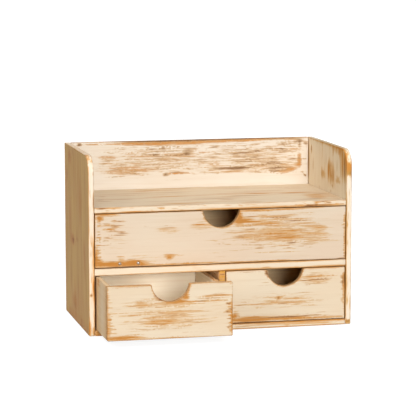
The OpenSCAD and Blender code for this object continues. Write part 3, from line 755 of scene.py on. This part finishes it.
        ("b", "F", -16.6, 183.1, 18.4, 1, 1), ("d", "F", -18.7, 184.3, 11.8, 0.5, 1.12), ("d", "F", -22.9, 173.8, 14.7, 0.5, 0.32),
        ("s", "F", -11, 206, 18.4, 1.2, 0.59), ("d", "F", -4.8, 211.5, 6.1, 6, 0.63), ("s", "F", -62.1, 212, 5.1, 0.7, 0.53),
        ("nd", "F", -64.5, 201.4, 62.4, 19.9, 0.31, 130, 7.6), ("ns", "F", -64.5, 199.4, 62.4, 17.9, 0.27, 43, 8.5), ("nd", "F", -4.4, 210.1, 66.6, 11.2, 0.36, 52, 6.8),
        ("nd", "F", 30.2, 199.6, 37.7, 20.1, 0.39, 68, 6.8), ("ns", "F", 30.2, 199.6, 37.7, 20.1, 0.34, 36, 7.6), ("d", "F", 73.5, 213.2, 28.3, 0.7, 0.49),
        ("d", "F", 66.5, 207.7, 17.9, 0.7, 0.69), ("d", "F", 73.5, 209, 10.4, 1.1, 0.69), ("d", "F", 77.7, 203.4, 23.9, 0.7, 0.63),
        ("d", "F", 77.8, 196.4, 20.9, 0.6, 0.63), ("d", "F", 57.4, 187.9, 27.6, 1.9, 1.42), ("s", "F", 56, 183.4, 26.1, 1.2, 0.69),
        ("d", "F", 94.7, 190.9, 15, 0.6, 0.69), ("d", "F", 104.6, 200.4, 16.5, 0.5, 0.47), ("d", "F", 111.7, 195.1, 15, 0.7, 0.69),
        ("d", "F", 113.1, 190.6, 10.9, 4.8, 0.28), ("d", "F", 117.4, 192.5, 15, 0.7, 1.12), ("d", "F", 123.1, 186.8, 18.1, 0.9, 1.2),
        ("d", "F", 121.7, 182.7, 13.6, 1.1, 0.78), ("d", "F", 75.6, 199.5, 9.7, 0.9, 0.47), ("b", "F", 130.2, 181.3, 9.4, 1.8, 1),
        ("b", "F", 140.1, 184.9, 7.5, 2.7, 1.18), ("b", "F", 148.7, 189.9, 4.7, 3, 0.8), ("s", "F", 130.2, 184, 10.6, 1, 0.58), ("s", "F", 134.4, 188.7, 9.4, 3, 0.38),
        ("b", "F", 152.9, 195.1, 1.9, 7.3, 1.88), ("d", "F", 154.8, 192.3, 0.9, 4.6, 1.5), ("d", "F", 151, 199.8, 1.1, 4.6, 1.12),
        ("s", "F", 152.3, 203.9, 2.5, 1.8, 0.53), ("b", "F", 146.1, 212.3, 8, 1.3, 0.77), ("d", "F", 143.6, 208.7, 9.8, 0.7, 0.63),
        ("d", "F", 152.8, 217.1, 1.4, 3.9, 1.12), ("d", "F", 138.5, 218.9, 16.6, 0.6, 0.63), ("d", "F", 160.2, 175.2, 1.4, 1.4, 2.25),
        ("d", "F", 159.1, 210.1, 0.8, 9.1, 0.8), ("d", "F", 158.4, 190.8, 0.8, 7.6, 0.71), ("d", "F", 162, 219.7, 2.2, 3, 1.12),
        ("d", "F", 159.2, 222.5, 0.9, 4.5, 1.12), ("d", "F", 155.9, 179.8, 1.3, 1.5, 0.69), ("d", "F", 159.1, 168.6, 0.8, 2.4, 0.47),
        ("nd", "F", 109, 198.9, 46.9, 21.9, 0.34, 130, 6.8), ("ns", "F", 111.8, 198.8, 44, 19, 0.25, 38, 7.6), ("nd", "F", 107.5, 218.2, 45.3, 8, 0.34, 40, 7.6),
    ],
    "deck": [
        ("s", "F", -53.2, -5.3, 23.8, 2.9, 0.93), ("s", "F", 7.2, -0.3, 43.3, 2.2, 0.66), ("s", "F", -47.3, -73.4, 22.7, 2.6, 0.93),
        ("s", "F", -65.3, 58.3, 11.5, 1.9, 0.57), ("d", "F", -144, -15.5, 4.6, 2.6, 1), ("d", "F", -143, -31.7, 12.3, 1.9, 0.9), ("d", "F", -135.9, 13.7, 5.6, 1.9, 1),
        ("b", "F", 70.1, -1.4, 15.3, 2.9, 1.14), ("b", "F", 121.2, -3.2, 18.8, 2.9, 1.08), ("w", "F", 137.6, -45.2, 12.6, 20.9, 0.55),
        ("d", "F", 150, -22.2, 10.7, 1.9, 0.9), ("s", "F", 40.9, -80.6, 10.8, 2.6, 0.93), ("d", "F", 122.2, 51.1, 33.6, 1.6, 0.72),
        ("d", "F", 48.7, -20.6, 25.5, 1.6, 0.72), ("d", "F", 123.6, -69.3, 15.6, 1.9, 0.8), ("d", "F", -0.1, -30.3, 35.4, 1.6, 0.72),
        ("d", "F", -94.1, 36.7, 28.3, 1.6, 0.6), ("nd", "F", 7.8, -26.9, 139.1, 109.8, 0.56, 29, 32.4), ("ns", "F", 7.8, -26.9, 139.1, 109.8, 0.42, 14, 35.1),
    ],
    "inner": [
        ("w", "B", -22.1, 190.3, 16.5, 13.8, 0.46), ("w", "B", 13.9, 184.8, 11, 6.2, 0.36), ("w", "B", -78, 213.8, 14.9, 25, 0.59), ("w", "B", -51.9, 224, 18.9, 5, 0.5),
        ("w", "B", -73.5, 223.7, 14, 7.5, 0.59), ("w", "B", -53.2, 183.4, 10.5, 1.8, 0.55), ("d", "B", 68.8, 212.8, 2.1, 5, 1.31),
        ("d", "B", 60.6, 191.7, 1.8, 11.2, 0.54), ("d", "B", -27.1, 173.6, 3.9, 1.8, 0.54), ("d", "B", 0.8, 205.1, 1.7, 11.2, 0.43),
        ("d", "B", -48.2, 202.6, 1.7, 8.8, 0.43), ("ns", "B", -22.1, 191.7, 13.3, 10, 0.71, 8, 9.5), ("nd", "B", -22.1, 191.7, 9.7, 8.8, 0.74, 5, 6.8),
        ("ns", "B", 13.9, 185.3, 8.2, 4.2, 0.68, 4, 4.6), ("nd", "B", 13.9, 184.8, 6.4, 3.8, 0.68, 3, 3.4), ("ns", "B", -75.8, 216.1, 15.2, 22.5, 0.71, 12, 14.9),
        ("nd", "B", -78, 213.8, 12.7, 22.5, 0.59, 9, 12.2), ("ns", "B", -47.6, 223.6, 21.5, 6.2, 0.58, 7, 6.8), ("ns", "B", -53.1, 184.8, 10.4, 2.5, 0.85, 3, 2.7),
    ],
    "outer": [
        ("d", "F", 27.2, 105.6, 8.7, 2.8, 1.24), ("w", "F", 30.3, 106.5, 17.4, 6.2, 0.47), ("d", "F", -4.1, 109.6, 12.3, 1.9, 0.6), ("d", "F", -40, 117.1, 6, 2.2, 0.48),
        ("d", "F", -2.9, 115.4, 5.4, 11.2, 0.43), ("d", "F", 46.7, 110.7, 4.8, 15, 0.37), ("w", "F", 49.4, 212.7, 11.2, 8.8, 0.61),
        ("d", "F", 47.6, 215.5, 5.6, 7.5, 0.57), ("d", "F", 26, 221.8, 6.3, 6.2, 0.48), ("d", "F", 71.8, 187.6, 4.9, 11.2, 0.6),
        ("d", "F", 80.5, 151.6, 3.3, 27.5, 0.43), ("d", "F", 16.4, 20.9, 10.2, 3.2, 0.57), ("w", "F", 16.1, 25, 18.8, 8.8, 0.32),
        ("d", "F", -61.1, 195.5, 5.9, 25, 0.31), ("w", "F", -29.9, 166, 7.5, 32.5, 0.32), ("w", "F", 49.2, 135.7, 9.6, 25, 0.29), ("w", "F", -59.5, 93, 6.6, 30, 0.29),
        ("d", "F", 45.9, 55.9, 5.6, 22.5, 0.34), ("d", "F", -8.5, 50.6, 5.4, 20, 0.29), ("d", "F", 72.5, 17.4, 4.1, 15, 0.34), ("d", "F", -36.6, 8.5, 15.1, 3.8, 0.43),
        ("d", "F", -65.9, 2.6, 11.8, 3, 0.48),
    ],
}

HW, YF, YB, H = 172.5, -90.0, 90.0, 228.0
Z_DECK, Z_MID = 163.5, 86.0

# ------------------------------------------------------------------ cabinet
def side_outline():
    r = 22.0
    pts = [(YF, 0.0), (YB, 0.0), (YB, H)]
    arc = [(YF + r - r * math.sin(t), H - r + r * math.cos(t)) for t in np.linspace(0, math.pi / 2, 15)]
    body = fillet([(YF, 0.0), (YB, 0.0), (YB, H), (YF + r, H), (YF, H - r)], [1.3, 1.3, 1.3, 0, 0])
    body = body[:-2] + [np.array(p) for p in arc]
    return body, pts


out_s, cor_s = side_outline()
# holes over the set and filled nails, on the outer faces of the side panels
side_dimples = [(YF + dy, z, 1.7, 0.30, "F") for z in (3.75 + 1.0, 81.5, 159.75) for dy in (38, 128)]
side_dimples += [(86.25, z, 1.7, 0.30, "F") for z in (40, 118, 196)]
# The outer face takes the full tone: a yellow wash and painted shade together.
board("left_side_panel", "left", m_side_left_wash_and_shade, "cabinet", outline=out_s, corners=cor_s, grain="v", seed=3, r0=0.7, fine=(-91, 91, 2.0), stroke=2.2,
      tones=(1.0, 0.25, 0.0), wears=(0.04, 0.04, 0.0), dimples=side_dimples,
      patches=MARKS["outer"] + dashes(9, "z", 4, 204, 26, 0.42, 7.5, (2.0, 8.0)) + [
               ("d", "F", 0, 1.5, 90, 2.4, 0.55), ("w", "F", 0, 6, 90, 8, 0.28), ("w", "F", -20, 30, 60, 20, 0.14), ("nw", "F", 0, 110, 88, 105, 0.18, 40, 30), ("nd", "F", 0, 110, 88, 105, 0.20, 26, 26),
               # the back arris and the top are rubbed to the wood
               ("w", "F", 88, 110, 4, 110, 0.30), ("t", "R", 0, 228, 80, 3, 0.22), ("w", "R", 0, 228, 80, 3, 0.12), ("b", "R", -40, 228, 44, 3, 0.41, 0.3, 0.9), ("d", "R", 20, 228, 60, 3, 0.47, 7.3, 0.8), ("b", "R", -72, 226, 9, 4, 0.74, 5.5, 2.4),
               # the front edge: rubbed inside at the deck and beside the drawers, and at the foot
               ("d", "B", -88.5, 170, 2.5, 11, 1), ("d", "R", -90, 170, 3, 11, 1.15, 0.1, 1.3), ("d", "R", -90, 206, 3, 3, 0.81, 0.2, 1.4), ("b", "B", -86, 120, 6, 34, 0.94), ("b", "R", -90, 100, 3, 17, 1.28, 0.3, 1.9),
               ("b", "B", -86, 42, 6, 36, 0.94), ("b", "R", -90, 60, 3, 15, 1.35, 0.3, 2.0), ("b", "R", -90, 6, 5, 5, 0.88, 0.4, 3.0), ("w", "R", -84, 224, 7, 5, 0.30),
               ("w", "R", -90, 118, 3, 110, 0.30, 7.4, 1.2), ("b", "R", -90, 160, 3, 36, 0.61, 7.4, 1.0), ("b", "R", -90, 10, 4, 9, 1.01, 6.8, 1.6), ("d", "R", -90, 52.8, 3, 1.8, 1.08, 4.4, 2.0), ("b", "R", -90, 210, 3, 18, 0.61, 7.4, 0.9)],
      chips=[("B", -90, 63, 9, 0.9), ("A", -90, 3, 5, 0.7), ("F", -90, 150, 14, 0.4), ("B", -90, 108, 10, 0.5), ("A", -84, 222, 6, 0.4)])
board("right_side_panel", "right", m_side_r, "cabinet", outline=out_s, corners=cor_s, grain="v", seed=11, r0=0.7, fine=(-91, 91, 2.0), stroke=2.2,
      tones=(0.8, 0.34, 0.0), wears=(0.04, 0.04, 0.0), dimples=side_dimples,
      patches=MARKS["inner"] + dashes(10, "z", 4, 204, 24, 0.42, 7.5, (2.0, 8.0)) + [
               # Painted light: the strip of negative wear along the foot of the inner face, above the deck, lightens
               # the corner against the shade that falls there; the d dots beside it are stains.
               ("d", "B", 81.5, 196, 1.3, 30, 1), ("b", "B", 80.5, 196, 2.0, 32, 0.54), ("b", "B", -8, 226.5, 84, 1.6, 0.54), ("nd", "B", -4, 196, 80, 30, 0.14, 16, 12), ("nw", "B", -4, 196, 80, 30, 0.14, 16, 12), ("w", "B", -30, 166, 50, 2.0, -0.3), ("d", "B", 30, 167, 5, 1.2, 0.7), ("d", "B", -20, 166.5, 4, 1.0, 0.7),
               ("b", "R", -89, 204, 5, 7.5, 1.49), ("d", "R", -90, 196, 2, 9, 1.28, 7.3, 1.3), ("b", "R", -90, 208, 3, 14, 0.7, 7.3, 1.2), ("d", "R", -89.5, 198, 3, 2.5, 0.68),
               ("b", "R", -90, 118, 3, 40, 0.8, 0.1, 1.0), ("b", "R", -90, 60, 3, 60, 0.53, 0.1, 1.0), ("d", "R", -89.6, 4, 2.4, 2.4, 1.62, 3.2, 2.2), ("b", "R", -89, 3.4, 4, 3, 0.7),
               ("b", "B", -86, 84, 6, 72, 0.86), ("t", "R", 0, 228, 80, 3, 0.55), ("w", "R", 0, 228, 80, 3, 0.10), ("d", "R", 0, 228, 84, 3, 1.01, 0.2, 0.8), ("b", "R", -20, 228, 50, 3, 0.61, 7.0, 1.4),
               ("w", "F", 0, 6, 90, 5, 0.3), ("w", "F", 40, 150, 14, 40, 0.3), ("w", "F", -84, 60, 5, 50, 0.4), ("d", "F", -20, 90, 4, 6, 0.8), ("w", "F", -20, 92, 10, 14, 0.3),
               ("d", "F", 52, 168, 3.4, 5, 0.7), ("nw", "F", 0, 110, 88, 105, 0.22, 46, 26), ("nd", "F", 0, 110, 88, 105, 0.40, 30, 22), ("d", "F", 0, 1.5, 90, 2.4, 0.5)],
      chips=[("A", -90, 3, 5, 0.8), ("B", -90, 205, 9, 0.7), ("F", -90, 192, 10, 0.5), ("A", -80, 224, 6, 0.4)])

back_dimples = []
for z in (3.75, 81.5, 159.75):
    for x in (-110, 0, 110):
        back_dimples.append((x, z, 1.55, 0.25, "B"))
board("back_panel", "front", m_back, "cabinet", seed=21, dimples=back_dimples, tones=(0.0, 0.30, 0.0), wears=(-0.04, 0.06, 0.30), fine=(163, 228, 0.8),
      patches=MARKS["back"] + [
               # Painted light: the cleaner, lighter band along the foot above the deck stands for light bounced off the
               # deck; the broad d patches darken the field above it.
               ("w", "F", 0, 205, 152, 24, 0.08), ("w", "F", 100, 198, 54, 20, 0.10), ("w", "F", -60, 192, 74, 14, 0.10), ("d", "F", -30, 200, 90, 18, 0.15), ("d", "F", 100, 200, 52, 19, 0.22), ("w", "F", 0, 168, 165, 6.5, -0.22), ("w", "F", 160, 196, 4.5, 30, -0.2),
               ("d", "R", 20, 228, 110, 3, 2.03), ("b", "R", 20, 228, 150, 3, 1.23), ("d", "F", 6, 227.6, 104, 1.2, 1.1), ("b", "F", -38, 225.4, 60, 2.2, 0.55), ("b", "F", 96, 226.6, 60, 1.5, 0.55),
               ("w", "B", 0, 8, 160, 8, 0.4), ("w", "B", -90, 140, 60, 20, 0.22), ("w", "B", 80, 60, 70, 18, 0.2), ("w", "B", 0, 222, 160, 6, 0.3), ("w", "B", 60, 180, 80, 14, 0.18),
               ("ns", "B", -70, 150, 80, 40, 0.38, 60, 14), ("nd", "B", 60, 70, 90, 50, 0.42, 60, 12), ("ns", "B", 0, 6, 160, 5, 0.5, 40, 14), ("ns", "B", 0, 222, 160, 5, 0.5, 40, 14)])
board("top_shelf", "up", m_shelf, "cabinet", seed=31, tones=(0.16, 0.3, 0.0), wears=(0.06, 0.05, 0.0), r0=0.55, rim=0.5, fine=(-90, 83, 1.8), stroke=3.2,
      patches=MARKS["deck"] + dashes(7, "x", -160, 160, 44, 0.62, 7.5, (1.2, 5.0)) + dashes(8, "x", 96, 160, 22, 0.85, 7.5, (1.2, 4.0)) + [
               ("b", "B", 0, -88, 165, 4, 0.94), ("b", "R", -20, -90, 150, 3, 0.7, 0.2, 0.9), ("d", "R", -60, -90, 70, 3, 0.74, 0.1, 0.7), ("b", "R", -118, -90, 12, 3, 0.97, 0.3, 1.6), ("b", "R", 8, -90, 34, 3, 0.7, 0.3, 1.5),
               ("b", "R", 132, -90, 24, 3, 1.05, 0.6, 1.8), ("d", "R", 128, -90, 22, 3, 1.01, 1.6, 0.7), ("d", "R", 142, -90, 18, 3, 0.74, 0.2, 0.8), ("b", "R", 60, -90, 46, 3, 0.61, 0.2, 1.2), ("d", "R", 76, -90, 34, 3, 0.74, 0.1, 0.8),
               ("b", "R", -146, -90, 16, 3, 0.8, 7.0, 1.2), ("d", "R", -154, -90, 8, 3, 1.01, 6.6, 0.7), ("d", "R", 60, -90, 30, 3, 0.61, 7.1, 0.6), ("nd", "F", 0, -60, 160, 24, 0.26, 20, 22),
               ("d", "F", -164, 0, 1.6, 84, 0.55), ("d", "F", 163, 30, 1.4, 5, 0.5), ("d", "F", 163, -20, 1.4, 4, 0.5), ("w", "F", 158, -50, 6, 20, 0.2)])
board("middle_shelf", "up", m_shelf, "cabinet", seed=37, tones=(0.16, 0.3, 0.0), wears=(0.1, 0.05, -0.05), r0=0.55, rim=0.5,
      patches=dashes(5, "x", -160, 160, 12, 0.34, 9.0) + [("b", "R", 140, -90, 26, 3, 1.2, 0.2, 0.9), ("b", "R", -10, -90, 150, 3, 0.7, 0.0, 0.5),("b", "B", 0, -88, 165, 4, 0.94), ("s", "F", 0, -88, 165, 4, 0.60), ("b", "R", 60, -90, 100, 3, 0.7, 0.1, 0.8), ("d", "R", 20, -90, 90, 3, 0.61, 0.0, 0.6), ("b", "R", 144, -90, 24, 3, 1.35, 0.4, 1.5),
               ("b", "R", 118, -90, 22, 3, 0.7, 0.4, 1.3), ("b", "R", 20, -90, 26, 3, 0.61, 0.4, 1.4), ("b", "R", 100, -90, 60, 3, 0.61, 8.8, 0.8), ("b", "R", -60, -90, 60, 3, 0.45, 0.2, 1.0)])
board("bottom_panel", "up", m_shelf, "cabinet", seed=41, tones=(0.2, 0.4, 0.0), wears=(0.1, 0.12, 0.0), r0=0.55, rim=0.5,
      # Painted shadow: the d marks at x -154 on the front edge and rim darken where the open left drawer's wall shades
      # the bottom panel.
      patches=dashes(6, "x", 0, 160, 16, 0.65) + [("b", "R", -156, -90, 9, 3, 1.3, 3.6, 6.0), ("b", "F", -156, -84, 9, 8, 0.8),("b", "R", 84, -90, 80, 3, 1.2, 0.4, 0.9), ("b", "R", 120, -90, 30, 3, 0.8, 3.6, 0.8),("s", "F", 0, -88, 165, 4, 0.60), ("b", "R", 70, -90, 84, 3, 1.15, 0.2, 1.0), ("b", "R", 96, -90, 74, 3, 1.08, 7.1, 1.1), ("b", "R", 60, -90, 40, 3, 0.53, 4.4, 0.9), ("d", "R", 26, -90, 10, 3, 0.81, 3.4, 0.7), ("d", "R", -154, -90, 5, 3, 1.62, 6.0, 3.0), ("d", "F", -154, -90, 6, 8, 1.0),
               ("ns", "B", 0, 0, 160, 84, 0.35, 80, 22), ("nd", "B", 0, 0, 160, 84, 0.38, 60, 20)])
board("centre_divider", "right", m_divider, "cabinet", seed=47, r0=0.6, tones=(0.3, 0.3, 0.0), wears=(-0.5, -0.5, 0.1), patches=[("w", "R", -90, 40, 4, 40, 0.5), ("d", "R", -90, 72, 4, 1.4, 1.22), ("d", "R", -90, 66, 4, 1.0, 0.81), ("nd", "R", -90, 44, 4, 30, 0.5, 12, 5)])


# ------------------------------------------------------------------ drawers
def front_outline(lo_x, hi_x, z0, z1, notch_x, r=24.0, rise=2.5):
    """A front board's outline, with the half-round notch in its upper edge, counter-clockwise."""
    a = math.sqrt(r * r - rise * rise)
    t0 = math.asin(rise / r)
    start, end = math.pi + t0, 2 * math.pi - t0
    arc = [(notch_x + r * math.cos(t), z1 + rise + r * math.sin(t)) for t in np.linspace(end, start, 31)]
    pts = [(lo_x, z0), (hi_x, z0), (hi_x, z1)] + arc + [(lo_x, z1)]
    rad = [1.3, 1.3, 1.3, 1.2] + [0] * (len(arc) - 2) + [1.2, 1.3]
    return fillet(pts, rad), [(lo_x, z0), (hi_x, z0), (hi_x, z1), (lo_x, z1), (notch_x - a, z1), (notch_x + a, z1)]


def drawer(key, notch_x, seed, patches, chips, floor_x, seen, edge_tone=0.1):
    body = key + "_drawer"
    lo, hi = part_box(body + "_front")
    lo, hi = np.array(lo) / MM, np.array(hi) / MM
    # the edges were planed to leave less than a millimetre of gap
    out, cor = front_outline(lo[0] - 0.25, hi[0] + 0.25, lo[2] - 0.6, hi[2] + 0.5, notch_x, rise=2.0)
    lw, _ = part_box(body + "_left_wall")
    fl0, fl1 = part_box(body + "_floor")
    zf = (fl0[2] + fl1[2]) / 2 / MM
    holes = [(x, zf, 2.1 if i < seen else 1.6, 0.9 if i < seen else 0.22, "F") for i, x in enumerate(floor_x)]
    patches = MARKS[key] + patches + [("d", "F", x, zf, 2.3, 2.3, 1.6) for x in floor_x[:seen]]
    ring = [("ow", "A", notch_x, hi[2] + 2.5, 24.4, 1.3, 0.50), ("od", "A", notch_x, hi[2] + 2.5, 24.0, 0.8, 0.70)]
    board(body + "_front", "front", m_front if key == "wide" else m_front_low, body, outline=out, corners=cor, seed=seed, step=3.4, dimples=holes, r0=0.45, rim=0.3, fine=(lo[2], hi[2], 0.8),
          patches=ring + patches, chips=chips, tones=(0.0, 0.3, edge_tone), wears=(0.0, 0.06, 0.80))
    y0 = lo[1]
    # Painted shade on the left wall's outer face: the tone patches make it darker inside the cabinet and beside the
    # front and lighter in the middle, and a dark line runs down beside the front; the b patch is a rubbed place.
    board(body + "_left_wall", "left", m_left_wall_wash_and_shade, body, seed=seed + 1, tones=(0.80, 0.0, 0.62), wears=(0.02, 0.02, 0.0),
          patches=[("t", "F", y0 + 38, 40, 12, 60, -0.25), ("t", "F", y0 + 11, 40, 4, 80, 0.30), ("d", "F", y0 + 10, 40, 2.0, 80, 0.6), ("b", "F", y0 + 62, 72, 8, 6, 0.5)])
    board(body + "_right_wall", "right", m_box, body, seed=seed + 2, tones=(0.8, 0.10, 0.45), wears=(0.02, 0.04, 0.25))
    # The wide and right drawers' back and floor take the darker tan copy at tone 0.8: painted shade, darker than the
    # left drawer's painted inside.
    inner, m_in = (0.0, m_box) if key == "left" else (0.8, m_inside_painted_shade)
    board(body + "_back", "front", m_in, body, seed=seed + 3, tones=(inner, 0.4, 0.25), wears=(0.0, 0.05, 0.15))
    board(body + "_floor", "up", m_in, body, seed=seed + 4, tones=(inner, 0.4, 0.2), wears=(0.0, 0.05, 0.1))


drawer("wide", -0.9, 101, floor_x=[-132.5, -108.8, -30, 30, 112.5], seen=2,
       patches=[("w", "F", 82, 128, 54, 20, 0.17), ("w", "F", 20, 124, 40, 18, 0.07), ("w", "F", -140, 126, 22, 26, 0.07), ("w", "F", -70, 132, 30, 10, 0.06)],
       chips=[("F", -164, 100, 6, 0.5), ("F", -130, 87.5, 20, 0.5), ("F", -164, 150, 8, 0.5), ("F", 162, 120, 10, 0.4), ("F", 25, 154, 5, 0.6)])
drawer("left", -83.5, 131, floor_x=[-124.5, -42.5], seen=0,
       patches=[("w", "F", -92, 40, 46, 17, 0.18), ("w", "F", -20, 50, 20, 20, 0.08), ("s", "R", -164, 40, 3, 36, 0.2), ("d", "R", -164, 40, 3, 36, 0.3)],
       chips=[("F", -5.5, 36, 9, 0.9), ("F", -5.5, 20, 5, 0.7), ("F", -5.5, 52, 4, 0.6), ("A", -59.6, 75.5, 3, 0.7), ("A", -107, 75.5, 3, 0.6), ("F", -163, 12, 8, 0.4)])
drawer("right", 83.7, 151, floor_x=[42.5, 124.5], seen=0,
       patches=[("w", "F", 84, 37, 52, 9, 0.12), ("w", "F", 84, 14, 70, 6, 0.12), ("w", "F", 128, 63, 24, 7, 0.10)],
       chips=[("F", 163.7, 58, 7, 1.0), ("F", 163.7, 66, 4, 0.6), ("A", 60, 75.5, 4, 0.8), ("A", 107.6, 75.5, 3, 0.6), ("F", 30, 9, 14, 0.5)])


# ------------------------------------------------------------------ nails
def nails(node, body, spots):
    """One piece for a group of nails: domed head, shank and point. spots are (head centre, direction of the point, head's size)."""
    prof = [(0.0, 0.0), (0.3, 0.02), (0.6, 0.08), (0.9, 0.18), (1.12, 0.30), (1.26, 0.44), (1.28, 0.54), (1.10, 0.68), (0.72, 0.70), (0.70, 3.0), (0.70, 10.0), (0.69, 16.8), (0.35, 18.2), (0.0, 18.9)]
    seg = 18
    verts, faces = [], []
    for spot in spots:
        p, d = Vector(spot[0]), Vector(spot[1])
        big = spot[2] if len(spot) > 2 else 1.0
        a = d.orthogonal().normalized()
        b = d.cross(a)
        start = len(verts)
        for i, (r, t) in enumerate(prof):
            if r == 0:
                verts.append(p + d * t)
            else:
                for s in range(seg):
                    w = 2 * math.pi * s / seg
                    verts.append(p + d * t + (a * math.cos(w) + b * math.sin(w)) * (r * big if t < 0.7 else r))
        def at(i, s):
            if i == 0:
                return start
            if i == len(prof) - 1:
                return start + 1 + (len(prof) - 2) * seg
            return start + 1 + (i - 1) * seg + s % seg
        for i in range(len(prof) - 1):
            for s in range(seg):
                q = [at(i, s), at(i, s + 1), at(i + 1, s + 1), at(i + 1, s)]
                q = [x for j, x in enumerate(q) if x not in q[:j]]
                faces.append(q[::-1])
    mesh = bpy.data.meshes.new("vis_" + node)
    mesh.from_pydata([tuple(v * MM) for v in verts], [], faces)
    mesh.validate()
    mesh.update()
    mesh.shade_smooth()
    mesh.materials.append(m_nail)
    obj = bpy.data.objects.new("vis_" + node, mesh)
    scene.collection.objects.link(obj)
    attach(obj, body)
    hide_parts(node)
    return obj


X, Y, Z = (1, 0, 0), (0, 1, 0), (0, 0, 1)
mX, mY, mZ = (-1, 0, 0), (0, -1, 0), (0, 0, -1)
side = []
for s in (-1, 1):
    d = mX if s > 0 else X
    for z in (3.75, 81.5, 159.75):
        side += [((s * (HW - 0.45), y, z), d) for y in (YF + 38, YF + 128)]
    side += [((s * (HW - 0.45), YB - 3.75, z), d) for z in (40, 118, 196)]
nails("side_panel_nails", "cabinet", side)
nails("back_panel_nails", "cabinet", [((x, YB - 0.02, z), mY) for z in (3.75, 81.5, 159.75) for x in (-110, 0, 110)])
nails("divider_nails", "cabinet", [((0, YF + 38, Z_MID - 0.45), mZ), ((0, YF + 128, Z_MID - 0.45), mZ), ((0, YF + 38, 0.15), Z), ((0, YF + 128, 0.15), Z)])


def drawer_nails(key, floor_x, seen):
    body = key + "_drawer"
    f0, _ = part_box(body + "_front")
    l0, l1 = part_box(body + "_left_wall")
    r0, r1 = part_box(body + "_right_wall")
    b0, b1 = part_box(body + "_back")
    g0, g1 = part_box(body + "_floor")
    yf, zf = f0[1] / MM, (g0[2] + g1[2]) / 2 / MM
    zw = (r0[2] + (r1[2] - r0[2]) * 0.72) / MM
    spots = [((x, yf + (0.12 if i < seen else 0.45), zf), Y, 1.25 if i < seen else 1.0) for i, x in enumerate(floor_x)]
    yb = (b0[1] + b1[1]) / 2 / MM
    xl, xr = l0[0] / MM, r1[0] / MM
    for x in ((l0[0] + l1[0]) / 2 / MM, (r0[0] + r1[0]) / 2 / MM):
        spots += [((x, yf + 0.45, z), Y) for z in (zf, zw)]
    for z in (zf, zw):
        spots += [((xl + 0.45, yb, z), X), ((xr - 0.45, yb, z), mX)]
    for y in (yf + 55, yf + 115):
        spots += [((xl + 0.45, y, zf), X), ((xr - 0.45, y, zf), mX)]
    nails(body + "_nails", body, spots)


drawer_nails("wide", [-132.5, -108.8, -30, 30, 112.5], 2)
drawer_nails("left", [-124.5, -42.5], 0)
drawer_nails("right", [42.5, 124.5], 0)

# ------------------------------------------------------------------ floor, light, world
KEY, WIDE_KEY, TOP, FILL, REAR, AMBIENT = 1.30, 1.50, 1.42, 1.60, 0.85, 0.08


def floor():
    mesh = bpy.data.meshes.new("floor")
    seg, rad = 96, 60.0
    mesh.from_pydata([(rad * math.cos(2 * math.pi * i / seg), rad * math.sin(2 * math.pi * i / seg), -0.0003) for i in range(seg)], [], [list(range(seg))])
    obj = bpy.data.objects.new("floor", mesh)
    scene.collection.objects.link(obj)
    mat = bpy.data.materials.new("floor_pale")
    k = Nodes(mat)
    tc = k.new("ShaderNodeTexCoord").outputs["Object"]
    bsdf = k.new("ShaderNodeBsdfPrincipled")
    col = k.mix(k.noise(tc, (3, 3, 3), 3.0), (0.29, 0.29, 0.29, 1), (0.31, 0.31, 0.308, 1))
    k.link(col, bsdf.inputs["Base Color"])
    bsdf.inputs["Roughness"].default_value = 0.85
    bsdf.inputs["Specular IOR Level"].default_value = 0.1
    bsdf.inputs["Emission Color"].default_value = (1, 1, 1, 1)
    bsdf.inputs["Emission Strength"].default_value = 0.86
    out = k.new("ShaderNodeOutputMaterial")
    k.link(bsdf.outputs[0], out.inputs[0])
    mesh.materials.append(mat)
    obj.visible_diffuse = False  # the key's direction would drown in the light that so wide a floor sends back


floor()


def far_softbox(name, azimuth, elevation, spread, strength, colour=(1.0, 1.0, 1.0)):
    """A softbox so far away that it lights the whole scene evenly. azimuth 0 is in front of the cabinet, and grows towards +X."""
    d = bpy.data.lights.new(name, "SUN")
    d.energy, d.color, d.angle = strength, colour, math.radians(spread)
    o = bpy.data.objects.new(name, d)
    scene.collection.objects.link(o)
    az, el = math.radians(azimuth), math.radians(elevation)
    way = Vector((math.sin(az) * math.cos(el), -math.cos(az) * math.cos(el), math.sin(el)))
    o.location = way * 3.0
    o.rotation_euler = way.to_track_quat("Z", "Y").to_euler()
    return o


far_softbox("key", -5, 9.5, 13, KEY)
far_softbox("wide_key", -1, 15, 22, WIDE_KEY)
far_softbox("fill", -70, 20, 60, FILL)
far_softbox("rear_fill", 150, 30, 80, REAR)
far_softbox("top", 0, 80, 110, TOP)
world = bpy.data.worlds.new("studio")
scene.world = world
world.use_nodes = True
wt = world.node_tree
wt.nodes.clear()
bg = wt.nodes.new("ShaderNodeBackground")
bg.inputs["Color"].default_value = (1.0, 1.0, 1.0, 1.0)
bg.inputs["Strength"].default_value = AMBIENT
backdrop = wt.nodes.new("ShaderNodeBackground")  # what is seen above the floor's far edge
backdrop.inputs["Color"].default_value = (1.0, 1.0, 1.0, 1.0)
backdrop.inputs["Strength"].default_value = 1.0
seen = wt.nodes.new("ShaderNodeLightPath")
pick = wt.nodes.new("ShaderNodeMixShader")
wt.links.new(seen.outputs["Is Camera Ray"], pick.inputs[0])
wt.links.new(bg.outputs[0], pick.inputs[1])
wt.links.new(backdrop.outputs[0], pick.inputs[2])
wo = wt.nodes.new("ShaderNodeOutputWorld")
wt.links.new(pick.outputs[0], wo.inputs[0])

scene.view_settings.view_transform = "Standard"
scene.view_settings.look = "None"
scene.view_settings.exposure = 0.0
scene.view_settings.gamma = 1.0
